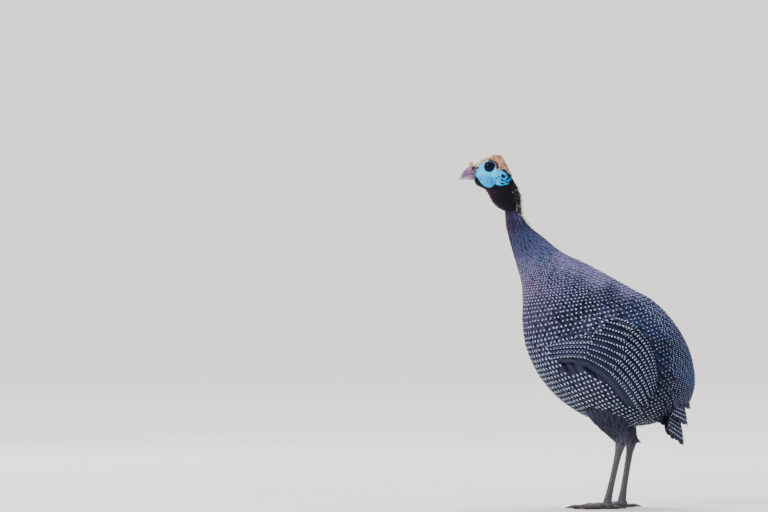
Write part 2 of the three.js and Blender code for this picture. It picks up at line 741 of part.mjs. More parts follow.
function place(name, solid, look, parent = bird) {
  const mesh = new THREE.Mesh(toGeometry(solid), materials[look]);
  mesh.name = name;
  parent.add(mesh);
}

const casque = makeCasque();
const casqueGrown = casque.add(ball(BROW.centre, BROW.radii, { across: 10, down: 6 }));
place("head", makeHead(), "blue");
place("bill_upper", makeUpperBill(), "bill");
place("bill_lower", makeLowerBill(), "bill");
place("casque", casque, "horn");
place("nasal_bristles", makeBristles(), "bristle");
place("neck_upper", neckUpper, "black");
place("neck_lower", neckLower, "neck");
place("torso", torso, "plumage");
place("tail", makeTail(), "flight");
for (const side of sidePair) {
  const hand = side < 0 ? "left" : "right";
  const leg = new THREE.Group();
  place(`eye_${hand}`, makeEye(side), "eye");
  place(`wattle_${hand}`, makeWattle(side), "blue");
  place(`wing_${hand}`, side < 0 ? leftWing : mirrored(leftWing), "flight");
  place(`thigh_${hand}`, makeThigh(side), "plumage", leg);
  place(`tarsus_${hand}`, makeTarsus(side), "scale", leg);
  place(`foot_${hand}`, makeFoot(side), "scale", leg);
  for (const toe of TOES) place(`claw_${toe.name}_${hand}`, makeClaw(side, toe), "claw", leg);
  bird.add(leg);
}

export default bird;
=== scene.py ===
# A helmeted guineafowl, life size, standing alert. Metres, +Z up; the bird faces -X and its left
# side is -Y. Tables of the bird's shape are in millimetres, as they are in the part's source.
import math

import bmesh
import bpy
import numpy as np
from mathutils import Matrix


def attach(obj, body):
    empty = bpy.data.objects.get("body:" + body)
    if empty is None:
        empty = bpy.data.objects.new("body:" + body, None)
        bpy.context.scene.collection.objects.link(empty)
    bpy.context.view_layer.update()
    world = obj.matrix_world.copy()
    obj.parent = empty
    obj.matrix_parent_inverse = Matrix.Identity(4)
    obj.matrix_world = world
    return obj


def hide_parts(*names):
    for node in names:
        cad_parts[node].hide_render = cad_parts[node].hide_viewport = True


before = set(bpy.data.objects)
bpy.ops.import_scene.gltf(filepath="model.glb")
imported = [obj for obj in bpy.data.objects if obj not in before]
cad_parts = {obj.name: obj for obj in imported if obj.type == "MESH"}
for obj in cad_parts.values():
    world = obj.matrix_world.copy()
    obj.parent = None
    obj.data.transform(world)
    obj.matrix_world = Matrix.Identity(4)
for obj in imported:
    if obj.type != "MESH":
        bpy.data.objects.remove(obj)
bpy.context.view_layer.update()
MM = 0.001

# ---- Camera, floor and light
# A long lens looks level at the bird's left side, as the photograph does. A pale floor sweeps up
# behind it, and broad soft lamps stand in front, above and behind.
LENS, SENSOR = 300.0, 36.0
VIEW_CENTRE = (-0.26136, 0.3402)  # x and z of the picture's middle, in the bird's plane
VIEW_WIDTH = 1.0368  # how much of that plane the picture spans
camera_data = bpy.data.cameras.new("camera")
camera_data.lens, camera_data.sensor_width = LENS, SENSOR
camera_data.clip_end = 60.0
camera = bpy.data.objects.new("camera", camera_data)
camera.location = (VIEW_CENTRE[0], -VIEW_WIDTH * LENS / SENSOR, VIEW_CENTRE[1])
camera.rotation_euler = (math.pi / 2, 0, 0)
bpy.context.scene.collection.objects.link(camera)
bpy.context.scene.camera = camera


def new_material(name, roughness=0.5):
    """A node material and its Principled shader."""
    made = bpy.data.materials.new(name)
    made.use_nodes = True
    shader = made.node_tree.nodes["Principled BSDF"]
    shader.inputs["Roughness"].default_value = roughness
    return made, shader


def srgb(red, green, blue):
    """A colour given in 0 to 255 as the eye sees it, turned to the shader's linear values."""
    part = np.array([red, green, blue], float) / 255
    return tuple(np.where(part <= 0.04045, part / 12.92, ((part + 0.055) / 1.055) ** 2.4))


class Wiring:
    """Short calls for the nodes of one material or group."""

    def __init__(self, tree):
        self.tree = tree

    def node(self, kind, feeds=None, **settings):
        """A new node with its settings, and with inputs set or joined by feeds."""
        made = self.tree.nodes.new(kind)
        for key, value in settings.items():
            setattr(made, key, value)
        for key, value in (feeds or {}).items():
            self.feed(made.inputs[key], value)
        return made

    def feed(self, socket, value):
        """Sets a socket to a number or colour, or joins it to an output."""
        if isinstance(value, bpy.types.NodeSocket):
            self.tree.links.new(value, socket)
        else:
            socket.default_value = value

    def math(self, operation, first, second=0.0):
        return self.node("ShaderNodeMath", {0: first, 1: second}, operation=operation).outputs[0]

    def sloped(self, value, slope, base):
        return self.math("ADD", self.math("MULTIPLY", value, slope), base)

    def blend(self, share, first, second, mode="MIX"):
        first, second = ((*v, 1) if isinstance(v, tuple) else v for v in (first, second))
        return self.node("ShaderNodeMix", {"Factor": share, 6: first, 7: second},
                         data_type="RGBA", blend_type=mode).outputs[2]

    def ramp(self, value, low, high):
        """0 below low and 1 above high, smooth between."""
        return self.node("ShaderNodeMapRange", {"Value": value, "From Min": low, "From Max": high},
                         interpolation_type="SMOOTHSTEP").outputs["Result"]

    def place(self):
        return self.node("ShaderNodeTexCoord").outputs["Object"]

    def tint(self):
        """The colours painted on the piece's points."""
        return self.node("ShaderNodeAttribute", attribute_name="tint").outputs["Color"]

    def bump(self, shader, height, strength, distance):
        made = self.node("ShaderNodeBump",
                         {"Strength": strength, "Distance": distance, "Height": height})
        self.feed(shader.inputs["Normal"], made.outputs["Normal"])


def new_group(name, kind, inputs, outputs):
    """An empty node group: its wiring, what it is given, and what it puts out."""
    tree = bpy.data.node_groups.new(name, kind)
    for way, sockets in (("INPUT", inputs), ("OUTPUT", outputs)):
        for title, socket in sockets.items():
            tree.interface.new_socket(title, in_out=way, socket_type="NodeSocket" + socket)
    w = Wiring(tree)
    return w, w.node("NodeGroupInput").outputs, w.node("NodeGroupOutput").inputs


def grain_group():
    """Uneven natural grain in two sizes: a value round 0.5 for colour, and a height for bump."""
    w, given, out = new_group("natural_grain", "ShaderNodeTree",
                              {"Vector": "Vector", "Scale": "Float"},
                              {"Value": "Float", "Height": "Float"})
    fine_scale = w.math("MULTIPLY", given["Scale"], 5.3)
    coarse, fine = (
        w.node("ShaderNodeTexNoise", {"Vector": given["Vector"], "Scale": scale, "Detail": detail}
               ).outputs["Fac"] for scale, detail in ((given["Scale"], 4), (fine_scale, 2)))
    w.feed(out["Value"], coarse)
    w.feed(out["Height"], w.sloped(coarse, 0.7, w.math("MULTIPLY", fine, 0.3)))
    return w.tree


natural_grain = grain_group()


def grained(w, scale):
    """Places the grain group on the piece's Object coordinates."""
    used = w.node("ShaderNodeGroup", node_tree=natural_grain)
    w.feed(used.inputs["Scale"], scale)
    w.feed(used.inputs["Vector"], w.place())
    return used.outputs["Value"], used.outputs["Height"]


def grained_material(name, scale, dark, light, bump, spread=None, tinted=False, roughness=0.5,
                     uneven=None, specular=None):
    """A finish whose colour runs between two tones with the grain, or shades the tint painted on
    the piece. bump is its strength and depth, uneven the slope and base of its roughness."""
    made, shader = new_material(name, roughness)
    w = Wiring(made.node_tree)
    value, height = grained(w, scale)
    color = w.blend(w.ramp(value, *spread) if spread else value, dark, light)
    if tinted:
        color = w.blend(1.0, w.tint(), color, "MULTIPLY")
    w.feed(shader.inputs["Base Color"], color)
    if uneven:
        w.feed(shader.inputs["Roughness"], w.sloped(value, *uneven))
    if specular is not None:
        shader.inputs["Specular IOR Level"].default_value = specular
    w.bump(shader, height, *bump)
    return made


FLOOR_HALF, FLOOR_BACK, SWEEP, SWEEP_TOP = 14.0, 10.0, 4.0, 11.0
pale_floor = grained_material("pale_floor", 6.0, srgb(222, 220, 216), srgb(230, 228, 225),
                              (0.05, 0.002), roughness=0.75)
profile = [(-FLOOR_HALF, 0.0), (FLOOR_BACK, 0.0)]
profile += [(FLOOR_BACK + SWEEP * math.sin(a), SWEEP * (1 - math.cos(a)))
            for a in np.linspace(0.1, math.pi / 2, 14)]
profile.append((FLOOR_BACK + SWEEP, SWEEP_TOP))
floor_points = [(x, y, z) for y, z in profile for x in (-FLOOR_HALF, FLOOR_HALF)]
floor_faces = [(2 * k, 2 * k + 1, 2 * k + 3, 2 * k + 2) for k in range(len(profile) - 1)]
floor_mesh = bpy.data.meshes.new("floor")
floor_mesh.from_pydata(floor_points, [], floor_faces)
floor_mesh.shade_smooth()
floor_mesh.materials.append(pale_floor)
floor = bpy.data.objects.new("floor", floor_mesh)
bpy.context.scene.collection.objects.link(floor)

BREAST_HEIGHT = (0.0, 0.0, 0.27)
LAMPS = [  # name, place, aim, size in metres, watts, colour
    ("lamp_key", (-1.9, -2.3, 2.2), BREAST_HEIGHT, 1.6, 112, (1.0, 0.97, 0.95)),
    ("lamp_fill", (2.4, -2.6, 1.0), BREAST_HEIGHT, 2.2, 34, (0.93, 0.96, 1.0)),
    ("lamp_rim", (-1.2, 2.2, 1.9), BREAST_HEIGHT, 1.6, 46, (1.0, 0.95, 0.94)),
    ("lamp_backdrop", (0.0, 4.0, 10.0), (0.0, 10.0, 0.0), 9.0, 2300, (1.0, 1.0, 1.0)),
]
ROOM_COLOR, ROOM_LIGHT = (0.86, 0.88, 0.92, 1), 0.46
for name, place, aim, size, power, color in LAMPS:
    data = bpy.data.lights.new(name, "AREA")
    data.size, data.energy, data.color = size, power, color
    lamp = bpy.data.objects.new(name, data)
    lamp.location = place
    away = np.array(place, float) - np.array(aim, float)
    lamp.rotation_euler = (math.atan2(math.hypot(away[0], away[1]), away[2]), 0,
                           math.atan2(away[0], -away[1]))
    bpy.context.scene.collection.objects.link(lamp)
world = bpy.data.worlds.new("studio")
world.use_nodes = True
room = world.node_tree.nodes["Background"].inputs
room["Color"].default_value, room["Strength"].default_value = ROOM_COLOR, ROOM_LIGHT
bpy.context.scene.world = world

# ---- Skin
# One living skin runs from the base of the bill to the rump: bare and coloured on the head, dull
# black on the swollen throat, and a dark ground under the feathers from the neck down. It lies
# inside the outline by the depth of the coat.
SECTION_POWER = 2.2
HEAD = [  # x, z of the lower or front edge, x, z of the upper or back edge, half width
    (-139.6, 441.2, -137.8, 461.0, 7.6), (-136.8, 436.2, -131.8, 465.5, 10.6),
    (-131.2, 433.2, -122.3, 468.8, 13.2), (-124.4, 429.2, -112.2, 468.6, 14.8),
    (-120.3, 422.6, -101.4, 463.1, 15.2), (-117.6, 417.2, -91.9, 451.6, 15.0),
    (-114.2, 411.8, -83.8, 437.4, 14.4), (-109.5, 407.0, -79.4, 425.2, 13.6),
    (-104.8, 403.6, -77.4, 414.5, 12.4), (-99.8, 401.2, -77.8, 404.3, 10.6),
]
TRUNK = [
    (-99.0, 400.3, -78.4, 401.6, 9.5), (-96.7, 380.7, -69.0, 384.1, 11.0),
    (-91.9, 360.5, -46.7, 365.9, 15.0), (-85.9, 339.5, -21.1, 345.6, 23.0),
    (-80.5, 321.3, 10.0, 330.8, 33.0), (-75.7, 302.4, 41.0, 314.6, 44.0),
    (-74.4, 278.1, 72.1, 297.0, 56.0), (-74.4, 248.4, 99.1, 282.2, 67.0),
    (-68.3, 213.3, 122.0, 260.6, 75.0), (-50.8, 176.9, 139.6, 236.3, 78.0),
    (-21.1, 144.5, 151.7, 210.6, 76.0), (16.7, 121.5, 158.0, 180.9, 68.0),
    (57.2, 110.7, 157.0, 159.3, 53.0), (95.0, 112.7, 149.0, 140.4, 33.0),
    (122.0, 122.0, 136.0, 129.0, 9.0),
]
SKIN_TABLE = HEAD + TRUNK
NECK_TOP = len(HEAD) / (len(SKIN_TABLE) - 1)  # where the feathers begin, as a share of the table
ROWS_FINE, ROUND_FINE = 900, 480  # samples of the outline used to place feathers
OUTLINE_TURNS = 720


def smooth_rows(rows, t):
    """The rows of a table joined by a smooth curve, read at shares t of its length."""
    rows = np.asarray(rows, float)
    held = np.vstack([2 * rows[0] - rows[1], rows, 2 * rows[-1] - rows[-2]])
    place = np.clip(t, 0, 1) * (len(rows) - 1)
    first = np.minimum(place.astype(int), len(rows) - 2)
    k = (place - first)[:, None]
    a, b, c, d = (held[first + n] for n in range(4))
    return 0.5 * (2 * b + (c - a) * k + (2 * a - 5 * b + 4 * c - d) * k**2
                  + (3 * b - a - 3 * c + d) * k**3)


def signed_power(value, power):
    return np.sign(value) * np.abs(value) ** power


def full_turn(count):
    return np.linspace(0, 2 * np.pi, count + 1)[:-1]


def loft_grid(rows, t, turns, power=SECTION_POWER):
    """Points of a loft: one row for each t, one column for each turn round its squared oval."""
    ax, az, bx, bz, half = smooth_rows(rows, t).T[:, :, None]
    along = signed_power(np.cos(turns), 2 / power)[None]
    across = signed_power(np.sin(turns), 2 / power)[None]
    x = (ax + bx) / 2 + (bx - ax) / 2 * along
    z = (az + bz) / 2 + (bz - az) / 2 * along
    return np.stack([x, half * across, z], -1)


def even_round(grid, count):
    """Spaces each closed ring's points evenly, starting where the ring starts."""
    ring = np.concatenate([grid, grid[:, :1]], 1)
    steps = np.linalg.norm(np.diff(ring, axis=1), axis=2)
    run = np.concatenate([np.zeros((len(grid), 1)), np.cumsum(steps, 1)], 1)
    wanted = np.arange(count) / count
    made = np.empty((len(grid), count, 3))
    for row in range(len(grid)):
        for axis in range(3):
            made[row, :, axis] = np.interp(wanted * run[row, -1], run[row], ring[row, :, axis])
    return made, run[:, -1]


def grid_normals(grid):
    """Outward unit normals of a grid whose columns close on themselves."""
    along = np.gradient(grid, axis=0)
    across = np.roll(grid, -1, 1) - np.roll(grid, 1, 1)
    normal = np.cross(along, across)
    return normal / np.maximum(np.linalg.norm(normal, axis=2, keepdims=True), 1e-9)


fine_t = np.linspace(0, 1, ROWS_FINE)
skin_grid, skin_girth = even_round(
    loft_grid(SKIN_TABLE, fine_t, full_turn(OUTLINE_TURNS)), ROUND_FINE)
skin_normal = grid_normals(skin_grid)


def on_skin(u, s, height):
    """Points over the outline. u runs from the bill to the rump, and s once round from the back
    by the right side and the belly. height is measured outwards, in millimetres."""
    over = np.maximum(u - 1, 0)[..., None]
    row = np.clip(u, 0, 1) * (ROWS_FINE - 1)
    column = np.mod(s, 1) * ROUND_FINE
    r0 = np.minimum(row.astype(int), ROWS_FINE - 2)
    c0 = np.mod(column.astype(int), ROUND_FINE)
    c1 = np.mod(c0 + 1, ROUND_FINE)
    kr, kc = (row - r0)[..., None], (column - np.floor(column))[..., None]

    def read(grid):
        low = grid[r0, c0] * (1 - kc) + grid[r0, c1] * kc
        return low * (1 - kr) + (grid[r0 + 1, c0] * (1 - kc) + grid[r0 + 1, c1] * kc) * kr

    run_on = (skin_grid[-1, c0] - skin_grid[-8, c0]) * ((ROWS_FINE - 1) / 7)
    return read(skin_grid) + run_on * over + read(skin_normal) * np.asarray(height)[..., None]


def smooth_step(value, low, high):
    k = np.clip((value - low) / (high - low), 0, 1)
    return k * k * (3 - 2 * k)


def ripple(points, size, seed):
    """Smooth unevenness between -1 and 1 that repeats nowhere near, from a few seeded waves."""
    draw = np.random.default_rng(seed)
    total = np.zeros(points.shape[:-1])
    for _ in range(7):
        way = draw.normal(size=3)
        way *= draw.uniform(0.6, 1.5) * 2 * np.pi / (size * np.linalg.norm(way))
        total += np.sin(points @ way + draw.uniform(0, 2 * np.pi))
    return total / 4.2


def near(points, x, z, wide, tall, lean=0.0):
    """1 at a spot of the side view and 0 an oval away from it."""
    dx, dz = points[..., 0] - x, points[..., 2] - z
    a = (dx * math.cos(lean) + dz * math.sin(lean)) / wide
    b = (-dx * math.sin(lean) + dz * math.cos(lean)) / tall
    return np.exp(-2.2 * (a * a + b * b))


def link_piece(name, mesh, slot, *replaced):
    """Sets a finished mesh in the scene, on the part's one body, in place of CAD nodes."""
    made = bpy.data.objects.new(name, mesh)
    bpy.context.scene.collection.objects.link(made)
    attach(made, "root")
    if replaced:
        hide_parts(*replaced)
    return made


def set_tint(mesh, colors):
    """Paints one colour on each point."""
    layer = mesh.color_attributes.new("tint", "FLOAT_COLOR", "POINT")
    full = np.concatenate([colors, np.ones((len(colors), 1))], 1)
    layer.data.foreach_set("color", full.astype(np.float32).ravel())


def mesh_from(name, points, faces, material, uvs=None, colors=None):
    """A smooth mesh from points in millimetres and rows of corners. uvs holds one place for each
    corner, colors one colour for each point."""
    faces = np.asarray(faces, np.int32)
    corners = faces.shape[1]
    made = bpy.data.meshes.new(name)
    made.vertices.add(len(points))
    made.vertices.foreach_set("co", (np.asarray(points) * MM).astype(np.float32).ravel())
    made.loops.add(faces.size)
    made.loops.foreach_set("vertex_index", faces.ravel())
    made.polygons.add(len(faces))
    starts = np.arange(0, faces.size, corners, dtype=np.int32)
    made.polygons.foreach_set("loop_start", starts)
    made.update(calc_edges=True)
    for title, places in (uvs or {}).items():
        layer = made.uv_layers.new(name=title)
        layer.data.foreach_set("uv", np.asarray(places, np.float32).ravel())
    if colors is not None:
        set_tint(made, colors)
    made.validate()
    made.shade_smooth()
    made.materials.append(material)
    return made


def tube_faces(rows, columns):
    """Corners of a closed-round grid, facing out where rows x columns turns outwards."""
    r, c = np.meshgrid(np.arange(rows - 1), np.arange(columns), indexing="ij")
    n = (c + 1) % columns
    quads = [r * columns + c, (r + 1) * columns + c, (r + 1) * columns + n, r * columns + n]
    return np.stack(quads, -1).reshape(-1, 4)


def tube_mesh(name, grid, material, colors=None):
    """A closed tube: each end is drawn in to a point at its middle."""
    rows, columns = grid.shape[:2]
    ends = [np.repeat(grid[k].mean(0)[None], columns, 0)[None] for k in (0, -1)]
    whole = np.concatenate([ends[0], grid, ends[1]])
    if colors is not None:
        colors = np.concatenate([colors[:1], colors, colors[-1:]]).reshape(-1, 3)
    return mesh_from(name, whole.reshape(-1, 3), tube_faces(rows + 2, columns), material,
                     colors=colors)


def close_mesh(mesh, reach=1e-6, turn_out=True):
    """Joins doubled points, unless reach is 0, and turns the faces outwards."""
    work = bmesh.new()
    work.from_mesh(mesh)
    if reach:
        bmesh.ops.remove_doubles(work, verts=work.verts, dist=reach)
        bmesh.ops.dissolve_degenerate(work, edges=work.edges, dist=reach)
    if turn_out:
        bmesh.ops.recalc_face_normals(work, faces=work.faces)
    work.to_mesh(mesh)
    work.free()
    mesh.shade_smooth()
    return mesh


def painted(shape, ground, *layers):
    """A ground colour, with the colour of each layer laid over it by the layer's share."""
    made = np.broadcast_to(np.array(ground), shape).copy()
    for color, share in layers:
        made = made * (1 - share[..., None]) + np.array(color) * share[..., None]
    return made


# Named colours of the bare parts
CHEEK = srgb(0, 214, 255)
# Painted highlights: paler blue patches on the cheek in front of and behind the eye.
CHEEK_PAINTED_HIGHLIGHTS = srgb(150, 196, 255), srgb(150, 226, 255)
WATTLE_BLUE = srgb(0, 162, 224)
# The ear hole's near-black is painted shade, the dark inside of the opening laid on a shallow
# dent.
EAR_BLUE, EAR_HOLE_SHADE = srgb(0, 86, 158), srgb(5, 6, 14)
NAPE_NAVY, NAPE_STRIPE = srgb(10, 16, 60), srgb(90, 112, 196)
BLOT_NAVY = srgb(0, 14, 50)
SKIN_BLACK = srgb(7, 3, 15)
THROAT_RED = srgb(48, 8, 36)
LORE_BROWN, GAPE_BLUE = srgb(42, 26, 40), srgb(30, 62, 120)
BROW_BLACK = srgb(8, 10, 24)
GROUND_DARK = srgb(18, 20, 34)
EAR_PLACE = (-100.5, 448.0)
EYE_PLACE = (-119.4, 460.4)
# x and z of the line between the blue skin and the black throat
BARE_EDGE = ([-141, -136, -131, -127, -122, -111, -105, -97, -93.8, -90.3, -86],
             [449.5, 447.5, 441, 436.5, 434, 437.2, 435.2, 436.5, 437.5, 443, 449])


def brow_crescent(points):
    """The dark crescent that runs over and behind the eye, along the casque's edge."""
    dx, dz = points[..., 0] - EYE_PLACE[0], points[..., 2] - EYE_PLACE[1]
    arc = np.hypot(dx / 11.2, dz / 9.0)
    turn = np.arctan2(dz, dx)
    return (np.exp(-((arc - 0.98) / 0.17) ** 2) * smooth_step(turn, -0.4, -0.1)
            * smooth_step(1.9 - turn, 0, 0.4))


def head_colors(points):
    """The bare skin's colours, with painted highlights on the cheek, laid one over the other by
    their places in the side view.
    """
    x, z = points[..., 0], points[..., 2]
    rough = ripple(points, 5.0, 3)
    wine = near(points, -116, 426, 8, 12, 0.5) * smooth_step(rough, -0.9, 0.8)
    bare = smooth_step(z + rough * 1.1 - np.interp(x, *BARE_EDGE), -0.6, 0.6)
    nape = near(points, -92, 452, 7, 11, 0.4) + near(points, -97.5, 456.5, 7, 4)
    stripe = np.abs((x + 93.5) * 0.72 + (z - 451.5) * 0.69 - 2.6) < 1.1
    dx, dz = x - EAR_PLACE[0], z - EAR_PLACE[1]
    ear = np.hypot(0.78 * dx - 0.62 * dz, 1.5 * (0.62 * dx + 0.78 * dz))
    blots = ripple(points, 4.4, 8) * (near(points, -101, 440.5, 10, 5.5) + near(
        points, -94.5, 444, 6, 7) + 0.8 * near(points, -108.5, 445.5, 4, 4))
    lore = near(points, -135.2, 459.6, 3.4, 3.4) + near(points, -138.4, 453.2, 3.4, 6)
    lore = lore * smooth_step(ripple(points, 3.0, 9), -0.9, -0.1)
    gape = near(points, -137.0, 447.4, 4.2, 3.2) * smooth_step(ripple(points, 2.4, 5), -0.5, 0.1)
    return painted(
        points.shape, SKIN_BLACK, (THROAT_RED, wine * 0.9), (CHEEK, bare),
        (EAR_BLUE, np.clip(near(points, -98.5, 445.5, 11, 10) * 1.15, 0, 1) * bare),
        (WATTLE_BLUE, near(points, -123, 440, 13, 6) * 0.9 * bare),
        # painted highlights on the cheek
        (CHEEK_PAINTED_HIGHLIGHTS[0], near(points, -133, 452.5, 3.6, 6, 0.3) * 0.6 * bare),
        (CHEEK_PAINTED_HIGHLIGHTS[1], near(points, -112.5, 453, 3, 8, -0.3) * 0.6 * bare),
        (NAPE_NAVY, np.clip(nape * 1.6, 0, 1) * bare),
        (NAPE_STRIPE, stripe * near(points, -92.5, 451.5, 9, 9) * bare * 0.9),
        (CHEEK, np.exp(-((ear - 5.0) / 1.3) ** 2) * 0.75),
        (BLOT_NAVY, smooth_step(blots, 0.04, 0.2) * bare),
        # painted shade in the ear opening
        (EAR_HOLE_SHADE, smooth_step(3.6 - ear, 0, 1.0)), (LORE_BROWN, np.clip(lore * 1.3, 0, 1)),
        (GAPE_BLUE, gape), (BROW_BLACK, np.clip(brow_crescent(points) * 1.3, 0, 1)))


def head_relief(points, normals):
    """Raises the brow, cheek, ear rim and creases of the bare skin."""
    x, z = points[..., 0], points[..., 2]
    side = np.clip(np.abs(normals[..., 1]) * 1.6 - 0.5, 0, 1)
    eye = np.hypot(x - EYE_PLACE[0], z - EYE_PLACE[1])
    lift = -3.4 * smooth_step(7.2 - eye, 0, 1.2) * side
    lift += 0.9 * near(points, -118, 449.8, 12, 3.2) * side
    ear = np.hypot(x - EAR_PLACE[0], z - EAR_PLACE[1])
    lift += (0.8 * np.exp(-((ear - 3.9) / 1.1) ** 2) - 2.6 * smooth_step(3.0 - ear, 0, 1.6)) * side
    lift += 1.1 * near(points, -136.8, 447.6, 3.2, 2.6) * side
    fold = np.sin((z * 0.9 - x * 0.5) * 1.1 + 1.6 * ripple(points, 14, 21))
    throat = smooth_step(434 - z, 0, 6)
    lift += 0.22 * fold * throat + 0.16 * ripple(points, 2.6, 12) * (1 - 0.5 * throat)
    return lift


def coat_depth(u):
    """How far the skin lies inside the outline: nothing on the head, then the feathers' depth."""
    start = NECK_TOP - 0.012
    return np.interp(u, [0, start, start + 0.012, 0.56, 0.66, 1], [0, 0, 1.0, 2.0, 4.0, 4.0])


HEAD_ROWS, BODY_ROWS, SKIN_ROUND = 150, 170, 180
skin_u = np.concatenate([np.linspace(0, NECK_TOP - 0.01, HEAD_ROWS),
                         np.linspace(NECK_TOP - 0.006, 1, BODY_ROWS)])
u_grid, s_grid = np.meshgrid(skin_u, np.arange(SKIN_ROUND) / SKIN_ROUND, indexing="ij")
bare_points = on_skin(u_grid, s_grid, 0)
facing = on_skin(u_grid, s_grid, 1) - bare_points
on_head = smooth_step(NECK_TOP - u_grid, 0.0, 0.02)
lift = head_relief(bare_points, facing) * on_head - coat_depth(u_grid)
skin_points = bare_points + facing * lift[..., None]
skin_tint = painted(bare_points.shape, head_colors(bare_points), (GROUND_DARK, 1 - on_head))
living_skin = grained_material(
    "living_skin", 420, (0.66, 0.76, 0.88), (1.0, 1.0, 1.0), (0.5, 0.0006), (0.35, 0.7),
    tinted=True, uneven=(0.3, 0.38), specular=0.12)
skin_mesh = close_mesh(tube_mesh("skin", skin_points, living_skin, skin_tint), turn_out=False)
link_piece("skin", skin_mesh, "blue_skin", "head", "neck_upper", "neck_lower", "torso")

# ---- Eyes and lids
# A large dark eye with a black pupil and a dark navy iris sits deep in the head, under a wet
# cornea. Puckered lids lie close over the ball up to a round opening, dark at its edge.
EYE_INSET, EYE_RADIUS = 7.9, 7.9
LID_INNER, LID_OUTER, LID_THICK = 46.0, 108.0, 0.55  # degrees from the eye's axis; millimetres
PUPIL_EDGE, IRIS_EDGE = (3.6, 4.1), (5.2, 5.9)  # soft edges, millimetres from the eye's middle
IRIS_DARK, IRIS_NAVY, EYE_BLACK = srgb(5, 12, 40), srgb(10, 20, 58), (0.002, 0.002, 0.003)
LID_BLACK, LID_BLUE, EYE_RIM = srgb(10, 14, 36), srgb(24, 44, 104), srgb(8, 10, 22)
LID_TURNS, LID_ROUND = 120, 28
wet_eye, shader = new_material("wet_eye", roughness=0.05)
shader.inputs["Specular IOR Level"].default_value = 0.12
w = Wiring(wet_eye.node_tree)
split = w.node("ShaderNodeSeparateXYZ", {0: w.place()}).outputs
dx = w.math("SUBTRACT", split["X"], EYE_PLACE[0] * MM)
dz = w.math("SUBTRACT", split["Z"], EYE_PLACE[1] * MM)
off = w.math("SQRT", w.math("ADD", w.math("MULTIPLY", dx, dx), w.math("MULTIPLY", dz, dz)))
eye_tint = w.blend(w.ramp(off, *(v * MM for v in PUPIL_EDGE)), EYE_BLACK,
                   w.blend(grained(w, 900)[0], IRIS_DARK, IRIS_NAVY))
eye_tint = w.blend(w.ramp(off, *(v * MM for v in IRIS_EDGE)), eye_tint, EYE_RIM)
w.feed(shader.inputs["Base Color"], eye_tint)


def tube_places(rows, columns, start=0.0, end=1.0):
    """A grid over a tube: its length from start to end, and once round."""
    return np.meshgrid(np.linspace(start, end, rows), full_turn(columns), indexing="ij")


def link_tube(name, grid, material, slot, *replaced, colors=None):
    """A piece made of one closed tube."""
    mesh = close_mesh(tube_mesh(name, grid, material, colors))
    return link_piece(name, mesh, slot, *replaced)


def lid_grid(centre, side):
    """A lid that lies over the eyeball as a closed ring, thick at its wet edge."""
    a, b = np.meshgrid(full_turn(LID_TURNS), full_turn(LID_ROUND), indexing="ij")
    middle, half = (LID_OUTER + LID_INNER) / 2, (LID_OUTER - LID_INNER) / 2
    fall = np.radians(middle + half * np.cos(b) - 3 * np.sin(a) * smooth_step(np.cos(b), 0, -1))
    swell = np.sign(np.sin(b)) * np.abs(np.sin(b)) ** 0.6 * LID_THICK
    outside = smooth_step(np.sin(b), 0, 0.5)
    pucker = np.sin(a * 30 + 1.2 * np.sin(a * 3)) + 0.6 * np.sin(np.degrees(fall) / 4.5)
    reach = EYE_RADIUS + 0.3 + swell + 0.1 * pucker * outside
    unit = np.stack([np.sin(fall) * np.cos(a), np.cos(fall) * side, np.sin(fall) * np.sin(a)], -1)
    return np.array(centre) + reach[..., None] * unit, np.degrees(fall), a


for side, hand in ((-1, "left"), (1, "right")):
    centre = np.array([EYE_PLACE[0], side * EYE_INSET, EYE_PLACE[1]])
    fall, turn = tube_places(48, 64, 0.02, np.pi - 0.02)
    ball = centre + EYE_RADIUS * np.stack(
        [np.sin(fall) * np.cos(turn), -np.cos(fall), -np.sin(fall) * np.sin(turn)], -1)
    link_tube("eye_" + hand, ball, wet_eye, "eye", "eye_" + hand)
    lid, fall, around = lid_grid(centre, side)
    edge = smooth_step(56 + 9 * smooth_step(np.sin(around + 0.4), -0.3, 0.6) - fall, -3, 3)
    lower = edge * smooth_step(-np.sin(around), 0.2, 0.8) * smooth_step(fall, 48, 54) * 0.7
    shade = painted(lid.shape, head_colors(lid), (LID_BLACK, edge), (LID_BLUE, lower))
    faces = np.mod(tube_faces(LID_TURNS + 1, LID_ROUND), LID_TURNS * LID_ROUND)
    lid_mesh = mesh_from("eyelid_" + hand, lid.reshape(-1, 3), faces, living_skin,
                         colors=shade.reshape(-1, 3))
    link_piece("eyelid_" + hand, close_mesh(lid_mesh, reach=0), "blue_skin")

# ---- Bill
# Two horny halves, lavender grey with pale cutting edges and a pale hooked tip. The upper half
# bears a slanting nostril under a raised rim, and closes over the lower one.
UPPER_BILL = [
    (-134.5, 448.5, -135.5, 463.0, 8.0), (-143.9, 448.7, -144.6, 463.0, 6.9),
    (-150.0, 448.5, -151.4, 458.0, 5.3), (-155.0, 446.0, -156.6, 451.9, 3.3),
    (-158.4, 443.2, -159.6, 446.4, 1.7), (-160.8, 440.9, -161.4, 441.5, 0.5),
]
LOWER_BILL = [
    (-135.0, 442.0, -135.0, 448.4, 7.4), (-144.6, 443.0, -144.6, 448.4, 5.8),
    (-150.3, 443.6, -150.7, 448.2, 4.4), (-154.4, 443.4, -155.2, 445.8, 2.6),
    (-156.7, 443.4, -156.9, 444.4, 0.8),
]
NOSTRIL_PLACE, NOSTRIL_LEAN = (-140.6, 458.4), 0.85
BILL_LAVENDER, BILL_MAUVE, BILL_LIP = srgb(124, 80, 132), srgb(156, 118, 150), srgb(172, 146, 166)
BILL_TIP, CERE_RED, CERE_SPOT = srgb(196, 182, 162), srgb(128, 80, 78), srgb(70, 44, 62)
